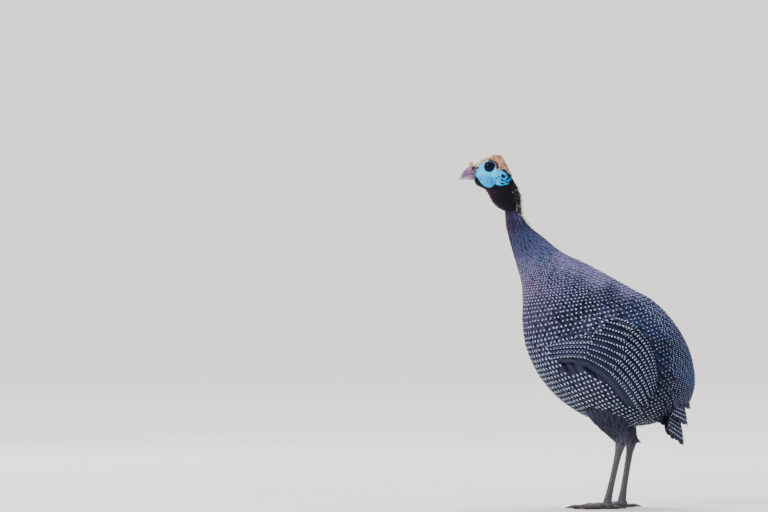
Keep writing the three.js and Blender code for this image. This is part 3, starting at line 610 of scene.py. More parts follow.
# The nostril's near-black is painted shade, the dark inside of the opening laid on a shallow dent.
BILL_SEAM, NOSTRIL_SHADE, BILL_UNDER = srgb(92, 66, 84), srgb(26, 16, 26), srgb(120, 92, 96)
BILL_ROWS, BILL_ROUND = 90, 96
horn_bill = grained_material(
    "horn_bill", 300, (0.78, 0.74, 0.8), (1.06, 1.05, 1.04), (0.25, 0.0005), (0.3, 0.72),
    tinted=True, roughness=0.38, uneven=(0.35, 0.2))


def bill_half(name, table, is_upper):
    grid = loft_grid(table, np.linspace(0, 1, BILL_ROWS) ** 0.9, full_turn(BILL_ROUND))
    normal = -grid_normals(grid)
    x, z = grid[..., 0], grid[..., 2]
    lip = smooth_step(z - (444.5 + 0.22 * (x + 160)), 3.2, 0.0)
    cere = smooth_step(x, -145, -141.5)
    seam = np.exp(-((x + 144.2 - 0.25 * (z - 455)) / 0.5) ** 2)
    layers = [(BILL_MAUVE, smooth_step(z, 455, 462) * 0.7), (BILL_LIP, lip * 0.8),
              (BILL_TIP, smooth_step(-154 - x, 0, 5.5)), (CERE_RED, cere * 0.9),
              (CERE_SPOT, smooth_step(ripple(grid, 4.0, 33), 0.15, 0.5) * cere),
              (BILL_SEAM, seam * 0.6)]
    if is_upper:
        hole = near(grid, *NOSTRIL_PLACE, 5.2, 2.4, NOSTRIL_LEAN)
        rim = near(grid, *NOSTRIL_PLACE, 6.8, 4.2, NOSTRIL_LEAN)
        lift = 0.9 * rim - 2.6 * smooth_step(hole, 0.35, 0.85)
        grid = grid + normal * (lift * np.abs(normal[..., 1]))[..., None]
        # painted shade in the nostril
        layers.append((NOSTRIL_SHADE, smooth_step(hole, 0.26, 0.56)))
    else:
        layers.append((BILL_UNDER, smooth_step(x, -150, -140) * 0.6))
    growth = ripple(grid * np.array([1, 0.4, 1]), 3.0, 31)
    tint = painted(grid.shape, BILL_LAVENDER, *layers)
    link_tube(name, grid + normal * (0.07 * growth)[..., None], horn_bill, "bill", name,
              colors=tint)


bill_half("bill_upper", UPPER_BILL, True)
bill_half("bill_lower", LOWER_BILL, False)

# ---- Casque
# A bony helmet under rough tan horn: a saddle on the crown that runs up to a blunt flat keel, with
# a smooth rolled lower edge over the eyes and at the back of the head.
FLAKE_SCALE, FLAKE_EDGE = 620, 0.09
CASQUE_TAN, CASQUE_CREST = srgb(202, 152, 116), srgb(172, 122, 106)
CASQUE_FRONT, CASQUE_OCHRE = srgb(228, 198, 176), srgb(206, 150, 96)
CASQUE_RED, CASQUE_PALE = srgb(128, 70, 62), srgb(240, 214, 186)
CASQUE_KEEL, CASQUE_END = srgb(246, 228, 204), srgb(110, 108, 160)
# x and z of the foot of the crest, and of the keel
CREST_FOOT = [-140, -124, -114, -104, -94], [458, 467, 471, 468, 452]
KEEL_LINE = ([-139, -133.1, -123.7, -114.2, -105, -98.9, -93.2, -88.6],
             [462.6, 469.1, 474.3, 477.6, 478.8, 470, 459, 449.4])
casque_horn, shader = new_material("casque_horn", roughness=0.6)
shader.inputs["Specular IOR Level"].default_value = 0.3
w = Wiring(casque_horn.node_tree)
value, height = grained(w, 260)
shade = w.blend(w.ramp(value, 0.36, 0.66), (0.6, 0.5, 0.47), (1.1, 1.08, 1.05))
flakes = w.node("ShaderNodeTexVoronoi", {"Vector": w.place()}, feature="DISTANCE_TO_EDGE")
flakes.inputs["Scale"].default_value = FLAKE_SCALE
crack = w.ramp(flakes.outputs["Distance"], 0.0, FLAKE_EDGE)
shade = w.blend(crack, w.blend(1.0, shade, (0.84, 0.75, 0.71), "MULTIPLY"), shade)
w.feed(shader.inputs["Base Color"], w.blend(1.0, w.tint(), shade, "MULTIPLY"))
w.feed(shader.inputs["Roughness"], w.sloped(value, 0.3, 0.42))
w.bump(shader, w.math("ADD", height, w.math("MULTIPLY", crack, 0.35)), 0.7, 0.0009)


def smooth_copy(node, voxel, rounds):
    """A finer, rounded copy of a CAD node's shape, with no facets left. Gives its points and
    normals in millimetres, and the mesh."""
    source = close_mesh(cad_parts[node].data.copy(), 1e-5, turn_out=False)
    work = bpy.data.objects.new("work", source)
    bpy.context.scene.collection.objects.link(work)
    remesh = work.modifiers.new("even", "REMESH")
    remesh.mode, remesh.voxel_size = "VOXEL", voxel * MM
    relax = work.modifiers.new("relax", "SMOOTH")
    relax.factor, relax.iterations = 0.5, rounds
    bpy.context.view_layer.update()
    made = bpy.data.meshes.new_from_object(
        work.evaluated_get(bpy.context.evaluated_depsgraph_get()))
    bpy.data.objects.remove(work)
    made.materials.clear()
    points = np.empty(len(made.vertices) * 3)
    made.vertices.foreach_get("co", points)
    normals = np.array([v.normal[:] for v in made.vertices])
    return made, points.reshape(-1, 3) / MM, normals


def link_copy(name, made, points, colors, material, slot):
    """Writes moved points and their colours back to a smooth copy, which stands for its node."""
    made.vertices.foreach_set("co", (points * MM).ravel())
    set_tint(made, colors)
    made.materials.append(material)
    made.update()
    made.shade_smooth()
    link_piece(name, made, slot, name)


made, points, normals = smooth_copy("casque", 0.45, 7)
x, z = points[:, 0], points[:, 2]
points = points + normals * (0.28 * ripple(points, 3.2, 41) + 0.35 * ripple(points, 9, 42)
                             )[:, None] * 0.8 + normals * 0.25
tint = painted(
    points.shape, CASQUE_TAN,
    (CASQUE_CREST, smooth_step(z - np.interp(x, *CREST_FOOT), 0, 7) * 0.85),
    (CASQUE_FRONT, smooth_step(-122 - x, -6, 6) * 0.85),
    (CASQUE_OCHRE, near(points, -103, 458, 6, 8) * 0.7),
    (CASQUE_RED, smooth_step(ripple(points, 4.5, 44), 0.1, 0.6) * 0.7),
    (CASQUE_PALE, smooth_step(ripple(points, 2.8, 45), 0.35, 0.8) * 0.5),
    (CASQUE_KEEL, smooth_step(z - np.interp(x, *KEEL_LINE), -3.6, -1.4) * 0.85),
    (CASQUE_END, smooth_step(x, -93, -88.5) * 0.8),
    (BROW_BLACK, np.clip(brow_crescent(points) * 1.2, 0, 1)))
link_copy("casque", made, points, tint, casque_horn, "horn")

# ---- Wattles
# Two soft flaps of bright blue skin hang from the corners of the bill, plump and rounded, with one
# deep crease towards the back and fine puckers.
# The deeper blue is painted shade along the wattle's crease.
WATTLE_CREASE_SHADE, WATTLE_LIGHT = srgb(0, 120, 196), srgb(20, 196, 250)
for side, hand in ((-1, "left"), (1, "right")):
    made, points, normals = smooth_copy("wattle_" + hand, 0.4, 8)
    outward = np.clip(normals[:, 1] * side, 0, 1)
    crease = near(points, -115.3, 440.5, 1.1, 6.5, 0.25)
    plump = near(points, -124, 440.5, 9, 7)
    points = points + normals * ((1.3 * plump - 1.3 * crease) * outward
                                 + 0.14 * ripple(points, 2.6, 51) + 0.25)[:, None]
    tint = painted(points.shape, WATTLE_BLUE,
                   (CHEEK, smooth_step(points[:, 2], 444, 451) * 0.9),
                   # painted shade in the crease
                   (WATTLE_CREASE_SHADE, near(points, -116, 439.5, 2.6, 8, 0.3) * 0.85),
                   (WATTLE_LIGHT, near(points, -128, 440, 5, 5) * 0.6))
    link_copy("wattle_" + hand, made, points, tint, living_skin, "blue_skin")

# ---- Bristles
# A short tuft of straw-coloured bristles stands on the cere, and sparse dark and pale bristles
# grow from the nape. Each is one stiff tapered shaft.


def bristle_tree():
    """Sets a tapered shaft on each point of a mesh, leaning along the point's own direction."""
    w, given, out = new_group(
        "bristles", "GeometryNodeTree",
        {"Points": "Geometry", "Length": "Float", "Thickness": "Float", "Variation": "Float",
         "Seed": "Int", "Material": "Material"}, {"Bristles": "Geometry"})
    shaft = w.node("GeometryNodeMeshCone", {
        "Vertices": 5, "Side Segments": 4, "Radius Top": 0.00004,
        "Radius Bottom": given["Thickness"], "Depth": given["Length"]})
    way = w.node("GeometryNodeInputNamedAttribute", {"Name": "way"}, data_type="FLOAT_VECTOR")
    turn = w.node("FunctionNodeAlignRotationToVector", {"Vector": way.outputs["Attribute"]},
                  axis="Z")
    size = w.node("FunctionNodeRandomValue", {
        2: w.math("SUBTRACT", 1.0, given["Variation"]), 3: 1.0, "Seed": given["Seed"]},
        data_type="FLOAT")
    spread = w.node("GeometryNodeInstanceOnPoints", {
        "Points": given["Points"], "Instance": shaft.outputs["Mesh"],
        "Rotation": turn.outputs["Rotation"], "Scale": size.outputs[1]})
    real = w.node("GeometryNodeRealizeInstances", {"Geometry": spread.outputs["Instances"]})
    dress = w.node("GeometryNodeSetMaterial", {"Geometry": real.outputs["Geometry"],
                                               "Material": given["Material"]})
    w.feed(out["Bristles"], dress.outputs["Geometry"])
    return w.tree


bristles_tree = bristle_tree()


def grow_bristles(name, roots, ways, slot, *replaced, **settings):
    """Runs the bristle tree on a set of roots and links the plain mesh."""
    seedbed = bpy.data.meshes.new(name + "_roots")
    seedbed.from_pydata([tuple(p) for p in np.asarray(roots) * MM], [], [])
    layer = seedbed.attributes.new("way", "FLOAT_VECTOR", "POINT")
    layer.data.foreach_set("vector", np.asarray(ways, np.float32).ravel())
    bed = bpy.data.objects.new(name + "_roots", seedbed)
    bpy.context.scene.collection.objects.link(bed)
    grow = bed.modifiers.new("grow", "NODES")
    grow.node_group = bristles_tree
    for item in bristles_tree.interface.items_tree:
        if item.in_out == "INPUT" and item.name in settings:
            grow[item.identifier] = settings[item.name]
    bpy.context.view_layer.update()
    made = bpy.data.meshes.new_from_object(
        bed.evaluated_get(bpy.context.evaluated_depsgraph_get()))
    bed.modifiers.clear()
    bpy.data.objects.remove(bed)
    made.shade_smooth()
    link_piece(name, made, slot, *replaced)


straw, dark_bristle, pale_bristle = (
    grained_material(name, scale, root, tip, (0.2, 0.0002), (0.35, 0.65), roughness=0.55)
    for name, scale, root, tip in (
        ("straw_bristle", 500, srgb(206, 158, 84), srgb(236, 212, 150)),
        ("dark_bristle", 300, srgb(14, 14, 20), srgb(34, 32, 44)),
        ("pale_bristle", 300, srgb(150, 136, 118), srgb(214, 200, 168))))
TUFT_COUNT, TUFT_PLACE, TUFT_WIDE = 90, (-143.4, 462.6), 2.4
draw = np.random.default_rng(61)
turn = draw.uniform(0, 2 * np.pi, TUFT_COUNT)
reach = np.sqrt(draw.uniform(0, 1, TUFT_COUNT))
cos, sin = reach * np.cos(turn), reach * np.sin(turn)
roots = np.stack([TUFT_PLACE[0] + TUFT_WIDE * cos, 1.9 * sin, TUFT_PLACE[1] - 0.5 * reach], -1)
ways = np.stack([-0.18 + 0.25 * cos, 0.28 * sin, np.ones(TUFT_COUNT)], -1)
grow_bristles("nasal_tuft", roots, ways, "bristles", "nasal_bristles", Length=6.4 * MM,
              Thickness=0.33 * MM, Variation=0.45, Seed=4, Material=straw)
NAPE_BRISTLES = [  # name, how many, lowest and highest u, widest s, length, rise, material, seed
    ("nape_bristles_dark", 640, 0.24, 0.47, 0.15, 8.5, 1.5, dark_bristle, 71),
    ("nape_bristles_pale", 210, 0.25, 0.45, 0.16, 4.6, 0.5, pale_bristle, 72),
]
for name, count, low, high, wide, length, rise, material, seed in NAPE_BRISTLES:
    draw = np.random.default_rng(seed)
    u = draw.uniform(low, high, count)
    s = draw.uniform(-wide, wide, count)
    base = on_skin(u, s, 0)
    out, back = on_skin(u, s, 1) - base, on_skin(u + 0.004, s, 0) - base
    back /= np.linalg.norm(back, axis=1, keepdims=True)
    lean = draw.uniform(0.2, rise, count) * smooth_step(u, low - 0.02, low + 0.1)
    way = back + out * lean[:, None] + draw.normal(0, 0.16, (count, 3))
    grow_bristles(name, on_skin(u, s, -0.3), way, "black_skin", Length=length * MM,
                  Thickness=0.3 * MM, Variation=0.65, Seed=seed, Material=material)

# ---- Body feathers
# Small rounded feathers lie like shingles from the neck to the rump, each with a pair of white
# pearls near its tip. They are hair-fine on the neck and widest on the flanks. Their colour runs
# from slate blue on the neck to near black on the belly, and the dark low down is in part painted
# shade. The lilac along the top of the back and the pink at the front of the neck and breast are
# painted rim light and sheen, and the blue on the rump is painted sheen.
VANE_STATIONS = np.array([0.0, 0.3, 0.62, 0.84, 0.96, 1.0])
VANE_WIDTHS = np.array([0.3, 0.8, 1.0, 0.86, 0.5, 0.16])
PATCH = 0.003  # size of one feather's patch in the bake map
COAT_FIRST, COAT_SPAN, COAT_END = 0.38, 0.64, 1.012  # shares of the skin's length


def join_copies(points, one, local):
    """Joins shapes that share one set of faces. Gives points, faces, each corner's place on its
    shape, and its shape's number."""
    n = len(points)
    points = points.reshape(n, -1, 3)
    faces = (np.arange(n) * points.shape[1])[:, None, None] + one
    return (points.reshape(-1, 3), faces.reshape(-1, one.shape[1]),
            np.tile(local[one.ravel()], (n, 1)), np.repeat(np.arange(n), one.size))


def lay_vanes(place, length, width, low, high, cup, stations=VANE_STATIONS, widths=VANE_WIDTHS,
              turn=0.0, roll=0.0, thick=0.16):
    """Vanes as closed thin blades. place(along, across, height) gives points over a surface, from
    each vane's root there. low and high are the heights of root and tip."""
    n, rings = len(length), len(stations)
    length, width, low, high, cup, turn = (
        np.broadcast_to(v, n)[:, None, None] for v in (length, width, low, high, cup, turn))
    down, sides = stations[:, None], np.array([-1.0, 0.0, 1.0, 0.0])
    a = down * length * np.ones(4)
    b = sides * widths[:, None] * (width / 2)
    h = low + (high - low) * down + cup * np.array([0.0, 1.0, 0.0, 1.0]) + roll * b
    h = h - thick * np.array([0.0, 0.0, 0.0, 1.0])
    points = place(a * np.cos(turn) - b * np.sin(turn), a * np.sin(turn) + b * np.cos(turn), h)
    quad = np.array([[0, 4, 5, 1], [1, 5, 6, 2], [2, 6, 7, 3], [3, 7, 4, 0]])
    last = (rings - 1) * 4
    caps = np.array([[0, 1, 2, 3], [last, last + 3, last + 2, last + 1]])
    walls = (np.arange(rings - 1) * 4)[:, None, None] + quad
    one = np.concatenate([walls.reshape(-1, 4), caps])
    local = np.stack(np.broadcast_arrays(sides * 0.5 + 0.5, down), -1).reshape(-1, 2)
    return join_copies(points, one, local)


PEARL_SIDES = 7


def lay_pearls(place, along, across, height, half_long, half_wide, raise_by=0.34):
    """Raised white spots as closed lenses on a surface."""
    turn, zero = np.arange(PEARL_SIDES) / PEARL_SIDES * 2 * np.pi, np.zeros((len(along), 1))
    a = np.concatenate([zero, half_long[:, None] * np.cos(turn), zero], 1) + along[:, None]
    b = np.concatenate([zero, half_wide[:, None] * np.sin(turn), zero], 1) + across[:, None]
    up = np.concatenate([[raise_by], np.full(PEARL_SIDES, 0.1), [-0.1]])
    k = np.arange(PEARL_SIDES) + 1
    after = k % PEARL_SIDES + 1
    one = np.concatenate([np.stack([0 * k, k, after], -1),
                          np.stack([0 * k + PEARL_SIDES + 1, after, k], -1)])
    spot = np.concatenate([[[0.5, 0.5]], 0.5 + 0.5 * np.stack([np.cos(turn), np.sin(turn)], -1),
                           [[0.5, 0.5]]])
    return join_copies(place(a, b, height[:, None] + up), one, spot)


def link_feathers(name, laid, material, slot, roots, colors, *replaced):
    """One piece of laid vanes or pearls. Each one's patch in the bake map lies at its root's place
    on the skin's unwrap. colors holds one for each vane or pearl, or for each point."""
    points, faces, local, owner = laid
    uvs = {"OFBake": np.clip(roots, 0.004, 0.993)[owner] + PATCH * (local - 0.5)}
    if faces.shape[1] == 4:
        uvs["vane"] = local
    colors = np.repeat(colors, len(points) // len(colors), 0)
    return link_piece(name, mesh_from(name, points, faces, material, uvs, colors), slot, *replaced)


def skin_unwrap(u, s):
    """The bake map's place of a place on the feathered skin."""
    return np.stack([np.mod(s, 1), (u - COAT_FIRST) / COAT_SPAN], -1)


def per_feather(values, places):
    """One value for each feather, in the shape that joins the places on it."""
    return np.reshape(values, (-1,) + (1,) * (places.ndim - 1))


FEATHER_LIGHT, FEATHER_DARK = (1.75, 1.7, 1.62), (0.55, 0.55, 0.58)


def feather_material(name, roughness, barb, mottle):
    """Feather with barbs that slant from the shaft, a darker shaft line and fine mottling."""
    made, shader = new_material(name, roughness=roughness)
    shader.inputs["Specular IOR Level"].default_value = 0.18
    w = Wiring(made.node_tree)
    tint = w.tint()
    vane = w.node("ShaderNodeSeparateXYZ",
                  {0: w.node("ShaderNodeUVMap", uv_map="vane").outputs["UV"]}).outputs
    out = w.math("ABSOLUTE", w.math("SUBTRACT", vane["X"], 0.5))
    slant = w.math("SUBTRACT", w.math("MULTIPLY", vane["Y"], barb),
                   w.math("MULTIPLY", out, barb * 0.9))
    wave = w.math("SINE", w.math("MULTIPLY", slant, 2 * math.pi))
    shaft = w.ramp(out, 0.045, 0.0)
    value, height = grained(w, 650)
    light = w.blend(1.0, tint, FEATHER_LIGHT, "MULTIPLY")
    dark = w.blend(1.0, tint, FEATHER_DARK, "MULTIPLY")
    mixed = w.blend(w.math("MULTIPLY", w.ramp(value, 0.42, 0.66), mottle), tint, light)
    for share, weight in ((w.ramp(value, 0.46, 0.34), 0.6), (w.math("ADD", wave, 1.0), 0.07),
                          (shaft, 0.3)):
        mixed = w.blend(w.math("MULTIPLY", share, weight), mixed, dark)
    w.feed(shader.inputs["Base Color"], mixed)
    total = w.sloped(wave, 0.4, w.math("MULTIPLY", shaft, 0.8))
    w.bump(shader, w.math("ADD", total, height), 0.35, 0.0003)
    return made


soft_feather = feather_material("soft_feather", 0.62, 16.0, 0.75)
neck_feather = feather_material("neck_feather", 0.7, 7.0, 0.55)
pearl_white = grained_material(
    "white_pearls", 900, (0.84, 0.84, 0.88), (1.0, 1.0, 1.0), (0.2, 0.0002), tinted=True,
    roughness=0.6, specular=0.25)
PEARL = np.array(srgb(208, 224, 255))

# The lilac at the top of the back and the pink at the front of the neck and breast are painted rim
# light and sheen. The blue on the rump is painted sheen, and the near black low on the body is in
# part painted shade.
GROUNDS_AND_PAINTED_LIGHT = [  # ground colours and painted light by place in the side view: x, z, and the colour's 0 to 255 values
    (-88, 398, 20, 18, 40), (-86, 386, 25, 24, 50), (-72, 362, 54, 60, 98),
    (-106, 384, 104, 74, 104), (-50, 342, 70, 78, 114), (-66, 322, 84, 78, 120),
    (-70, 300, 90, 68, 104), (-8, 336, 108, 104, 150), (30, 314, 104, 100, 142),
    (70, 292, 90, 88, 132), (-30, 306, 66, 62, 100), (0, 292, 46, 48, 84),
    (10, 272, 23, 26, 52), (46, 284, 28, 32, 64), (70, 272, 28, 34, 66),
    (-55, 262, 60, 52, 88), (-20, 250, 30, 31, 58), (-52, 210, 44, 42, 74),
    (-30, 165, 36, 35, 62), (20, 135, 36, 34, 58), (92, 258, 32, 41, 78),
    (118, 240, 32, 42, 80), (108, 212, 18, 25, 50), (120, 205, 20, 29, 58),
    (146, 200, 30, 42, 78), (110, 165, 17, 20, 42), (138, 160, 26, 26, 54),
    (154, 170, 36, 50, 92), (100, 130, 20, 22, 42),
]


def ground_and_painted_light(points):
    """The feathers' ground colour with its painted sheen, rim light and shade at points of the
    body, mixed from the named places near them.
    """
    total, weights = 0.0, 0.0
    for x, z, *color in GROUNDS_AND_PAINTED_LIGHT:
        weight = 1 / ((points[:, 0] - x) ** 2 + (points[:, 2] - z) ** 2 + 60) ** 2
        total = total + weight[:, None] * np.array(srgb(*color))
        weights = weights + weight[:, None]
    return total / weights


side_steps = np.linalg.norm(np.diff(skin_grid[:, int(0.75 * ROUND_FINE)], axis=0), axis=1)
row_length = np.gradient(np.concatenate([[0], np.cumsum(side_steps)]), fine_t)
# distance between rows of feathers, along the side
ROW_PITCH = [NECK_TOP, 0.5, 0.58, 0.64, 0.7, 1.0], [2.1, 2.5, 3.3, 4.6, 6.0, 6.4]


def coat_lattice():
    """Roots of the body feathers: rows round the body, each set over by half a pearl's space."""
    rows, u, index = [], NECK_TOP - 0.004, 0
    while u < 0.985:
        pitch, girth = np.interp(u, *ROW_PITCH), np.interp(u, fine_t, skin_girth)
        count = max(6, int(round(girth / (2 * pitch))))
        s = (np.arange(count) + 0.25 * (index % 4)) / count
        rows.append(np.stack(np.broadcast_arrays(u, s, girth / count, pitch), -1))
        u += pitch / np.interp(u, fine_t, row_length)
        index += 1
    return np.concatenate(rows)


draw = np.random.default_rng(101)
u_root, s_root, gap_across, gap_along = coat_lattice().T
u_root = u_root + draw.normal(0, 0.02, len(u_root)) * gap_along / np.interp(
    u_root, fine_t, row_length)
girth_root = np.interp(u_root, fine_t, skin_girth)
s_root = s_root + draw.normal(0, 0.02, len(s_root)) * gap_across / girth_root
root_points = on_skin(u_root, s_root, 0)
STEP, LEAST_RUN = 0.004, 120.0
run_root = np.maximum(np.linalg.norm(on_skin(u_root + STEP, s_root, 0) - on_skin(
    u_root - STEP, s_root, 0), axis=1) / (2 * STEP), LEAST_RUN)

# The folded wing's own grid: p runs from the leading edge to the feather tips, q from the lower
# edge to the shoulder
WING_KNOTS = [0.0, 0.45, 0.8, 1.0]
WING_LINES = [  # leading edge, two handles, tip: x and z for each knot
    [(-36, 203), (14, 218), (50, 190), (86, 126)],
    [(-44, 226), (8, 238), (82, 238), (99, 149)],
    [(-36, 252), (26, 264), (98, 260), (105, 167)],
    [(-12, 268), (40, 278), (104, 270), (107, 180)],
]


def wing_flat(p, q):
    """Side-view x and z of a place on the folded wing."""
    lines = np.array(WING_LINES, float).reshape(4, 8)
    held = np.stack([np.interp(q, WING_KNOTS, lines[:, k]) for k in range(8)], -1)
    beyond = np.minimum(q, 0) + np.maximum(q - 1, 0)
    slope = np.where((q < 0)[..., None], (lines[1] - lines[0]) / WING_KNOTS[1],
                     (lines[3] - lines[2]) / (1 - WING_KNOTS[2]))
    held = held + slope * beyond[..., None] * 0.8
    held = held.reshape(q.shape + (4, 2))
    p = p[..., None]
    m = 1 - p
    return (m**3 * held[..., 0, :] + 3 * m * m * p * held[..., 1, :]
            + 3 * m * p * p * held[..., 2, :] + p**3 * held[..., 3, :])


WING_SWELL, WING_SUNK = 4.6, 3.4
WING_CORNER, WING_CELLS = (-90.0, 100.0), (240, 220)  # first x and z of the map, and its size


def wing_start(q):
    """Where the wing comes out from under the shoulder feathers: further back higher up."""
    return -0.04 + 0.3 * smooth_step(q, 0.3, 0.62)


def wing_height(p, q):
    """How far the wing's feathers stand off the body, or lie sunk in its coat."""
    rise = (smooth_step(p - wing_start(q), -0.1, 0.26) * smooth_step(q, -0.36, 0.08)
            * smooth_step(0.99 - q, 0, 0.26) * (1 - 0.36 * smooth_step(p, 0.6, 1.0)))
    return -WING_SUNK + (WING_SUNK + WING_SWELL) * rise


def wing_map():
    """For each millimetre of the side view: the wing's p and q there, or -1 outside it."""
    p, q = np.meshgrid(np.linspace(-0.1, 1.0, 111), np.linspace(-0.15, 1.1, 76), indexing="ij")
    flat = wing_flat(p, q)
    found = np.full(WING_CELLS + (2,), -1.0)
    for offset in np.stack(np.meshgrid([-0.5, 0.0, 0.5], [-0.5, 0.0, 0.5]), -1).reshape(-1, 2):
        cell = np.round(flat + offset - np.array(WING_CORNER)).astype(int)
        fit = np.all((cell >= 0) & (cell < WING_CELLS), -1)
        found[cell[fit][:, 0], cell[fit][:, 1]] = np.stack([p, q], -1)[fit]
    return found


wing_found = wing_map()


def read_wing_map(points):
    """The wing's p and q at places of the body."""
    cell = np.round(points[..., ::2] - np.array(WING_CORNER)).astype(int)
    cell = np.clip(cell, 0, np.array(WING_CELLS) - 1)
    return np.moveaxis(wing_found[cell[..., 0], cell[..., 1]], -1, 0)


def wing_lift(points):
    """How far a body feather is raised where it lies over the wing's front or upper edge."""
    p, q = read_wing_map(points)
    over = np.maximum(smooth_step(wing_start(q) + 0.34 - p, 0, 0.1),
                      smooth_step(q, 0.8, 0.9)) * smooth_step(q, 0.25, 0.4)
    return np.where(p < -0.5, 0, over * np.maximum(0, wing_height(p, q) + 2.2))


def under_wing(points):
    """Whether places of the body lie where only the wing's own feathers are seen."""
    p, q = read_wing_map(points)
    return ((p > wing_start(q) + np.where(q < 0.35, 0.05, 0.16)) & (p < 0.9)
            & (q > np.interp(p, [0, 0.1, 0.6, 0.8], [0.1, -0.11, -0.11, 0.1])) & (q < 0.93))


tip_points = on_skin(u_root + 3.2 * gap_along / run_root, s_root, 0)
keep = ~(under_wing(root_points) | under_wing(tip_points))
keep &= u_root + 3.0 * gap_along / run_root < COAT_END
u_root, s_root, gap_across, gap_along, girth_root, run_root, root_points = (
    value[keep] for value in (u_root, s_root, gap_across, gap_along, girth_root, run_root,
                              root_points))
n_roots = len(u_root)
# each row's own pitch, stretched where the body bulges
row_gap = gap_along * run_root / np.interp(u_root, fine_t, row_length)
vane_length, vane_width, cup = 3.4 * row_gap + 3.0, gap_across * 1.3, gap_across * 0.075
root_low = -coat_depth(u_root) - 0.2
tip_high = np.where(u_root < 0.6, 0.1, -0.1) - 0.15 * draw.uniform(0, 1, n_roots)
yaw = draw.normal(0, 1, n_roots) * (0.03 + 0.09 * smooth_step(u_root, 0.64, 0.5))
# ground colours that carry the painted sheen, rim light and shade of the table
ground = ground_and_painted_light(on_skin(u_root + vane_length / run_root, s_root, 0))
ground *= draw.uniform(0.86, 1.14, (n_roots, 1))


def over_body(who):
    """A place function for the chosen feathers: millimetres along and across the body."""
    def place(a, b, h):
        u, s = (per_feather(root[who], a) + way / per_feather(run[who], a)
                for root, way, run in ((u_root, a, run_root), (s_root, b, girth_root)))
        return on_skin(u, s, h + wing_lift(on_skin(u, s, 0)))
    return place


x_root = root_points[:, 0]
upper_root = np.abs(np.mod(s_root + 0.5, 1) - 0.5)  # 0 on the back, 0.5 on the belly
is_neck = u_root < 0.575
is_rump = ~is_neck & (x_root > 88)
is_mantle = ~is_neck & ~is_rump & (upper_root < 0.16)
NECK_VANE = np.array([0.0, 0.4, 0.8, 1.0]), np.array([0.4, 1.0, 0.8, 0.12])
for part, chosen in (("neck", is_neck), ("mantle", is_mantle),
                     ("breast", ~is_neck & ~is_rump & ~is_mantle), ("rump", is_rump)):
    who = np.flatnonzero(chosen)
    vane = NECK_VANE if part == "neck" else (VANE_STATIONS, VANE_WIDTHS)
    laid = lay_vanes(over_body(who), vane_length[who], vane_width[who], root_low[who],
                     tip_high[who], cup[who], *vane, turn=yaw[who])
    link_feathers("coat_" + part, laid, neck_feather if part == "neck" else soft_feather,
                  "neck_plumage" if part == "neck" else "plumage",
                  skin_unwrap(u_root[who], s_root[who]), ground[who])

# Pearls: pairs on the body, fours in two rows on the mantle and the rump. Each is a share across
# the feather's space, and rows back from its tip.
PAIR = [(0.25, 0.42), (-0.25, 0.42)]
FOURS = [(0.25, 0.3), (-0.25, 0.3), (0.0, 0.8), (0.5, 0.8)]
mantle_share = smooth_step(0.14 - upper_root, 0, 0.07) * smooth_step(u_root, 0.56, 0.6)
mantle_share = np.maximum(mantle_share,
                          smooth_step(x_root + draw.normal(0, 3, n_roots), 105, 125))
size_side = np.interp(u_root, [0.53, 0.58, 0.64, 0.7, 0.8, 1.0],
                      [0.34, 0.56, 0.9, 1.22, 1.24, 1.05])
size_side = size_side * (1 - 0.3 * smooth_step(0.24 - upper_root, 0, 0.1))
size_side = size_side * (1 - 0.3 * smooth_step(x_root, 80, 110))
belly_share = smooth_step(upper_root, 0.27, 0.36) * smooth_step(u_root, 0.68, 0.78)


def pearl_piece(name, who, spots, radius, stretch):
    """Pearls on the chosen body feathers."""
    a = np.concatenate([vane_length[who] - back * row_gap[who] for _, back in spots])
    b = np.concatenate([across * gap_across[who] for across, _ in spots])
    r = np.concatenate([radius * draw.uniform(0.88, 1.12, len(who)) for _ in spots])
    feather = np.tile(who, len(spots))
    cos, sin = np.cos(yaw[feather]), np.sin(yaw[feather])
    share = a / vane_length[feather]
    half = np.interp(share, VANE_STATIONS, VANE_WIDTHS) * vane_width[feather] / 2
    high = root_low[feather] + (tip_high - root_low)[feather] * share
    high = high + cup[feather] * np.clip(1 - np.abs(b) / half, 0, 1)
    laid = lay_pearls(over_body(feather), a * cos - b * sin, a * sin + b * cos, high,
                      r * np.tile(stretch, len(spots)), r)
    roots = skin_unwrap(u_root[feather] + a / run_root[feather],
                        s_root[feather] + b / girth_root[feather])
    link_feathers(name, laid, pearl_white, "plumage", roots,
                  PEARL * draw.uniform(0.8, 1.0, (len(a), 1)))


pairs = np.flatnonzero((u_root > 0.53) & (mantle_share < 0.5))
pearl_piece("pearls_body", pairs, PAIR, size_side[pairs], 1 + 0.65 * belly_share[pairs])
fours = np.flatnonzero((u_root > 0.56) & (mantle_share >= 0.5))
fine = np.interp(u_root, [0.56, 0.7], [0.46, 0.84]) * (1 - 0.28 * smooth_step(x_root, 90, 130))
pearl_piece("pearls_mantle", fours, FOURS, fine[fours], np.ones(len(fours)))

# ---- Folded wings
# Each wing lies closed against the side. Body feathers cover its front, then come median and
# greater coverts, then the long secondaries that curve down over the rump. The plain primaries
# peep out below. A dark pad under them is the wing's flesh, and its near-black colour is painted
# shade under the feathers.
WING_STRIPS, WING_DEPTH, WING_STEPS = 9, 87.0, 100
WING_Q = np.linspace(-0.3, 1.3, 65)


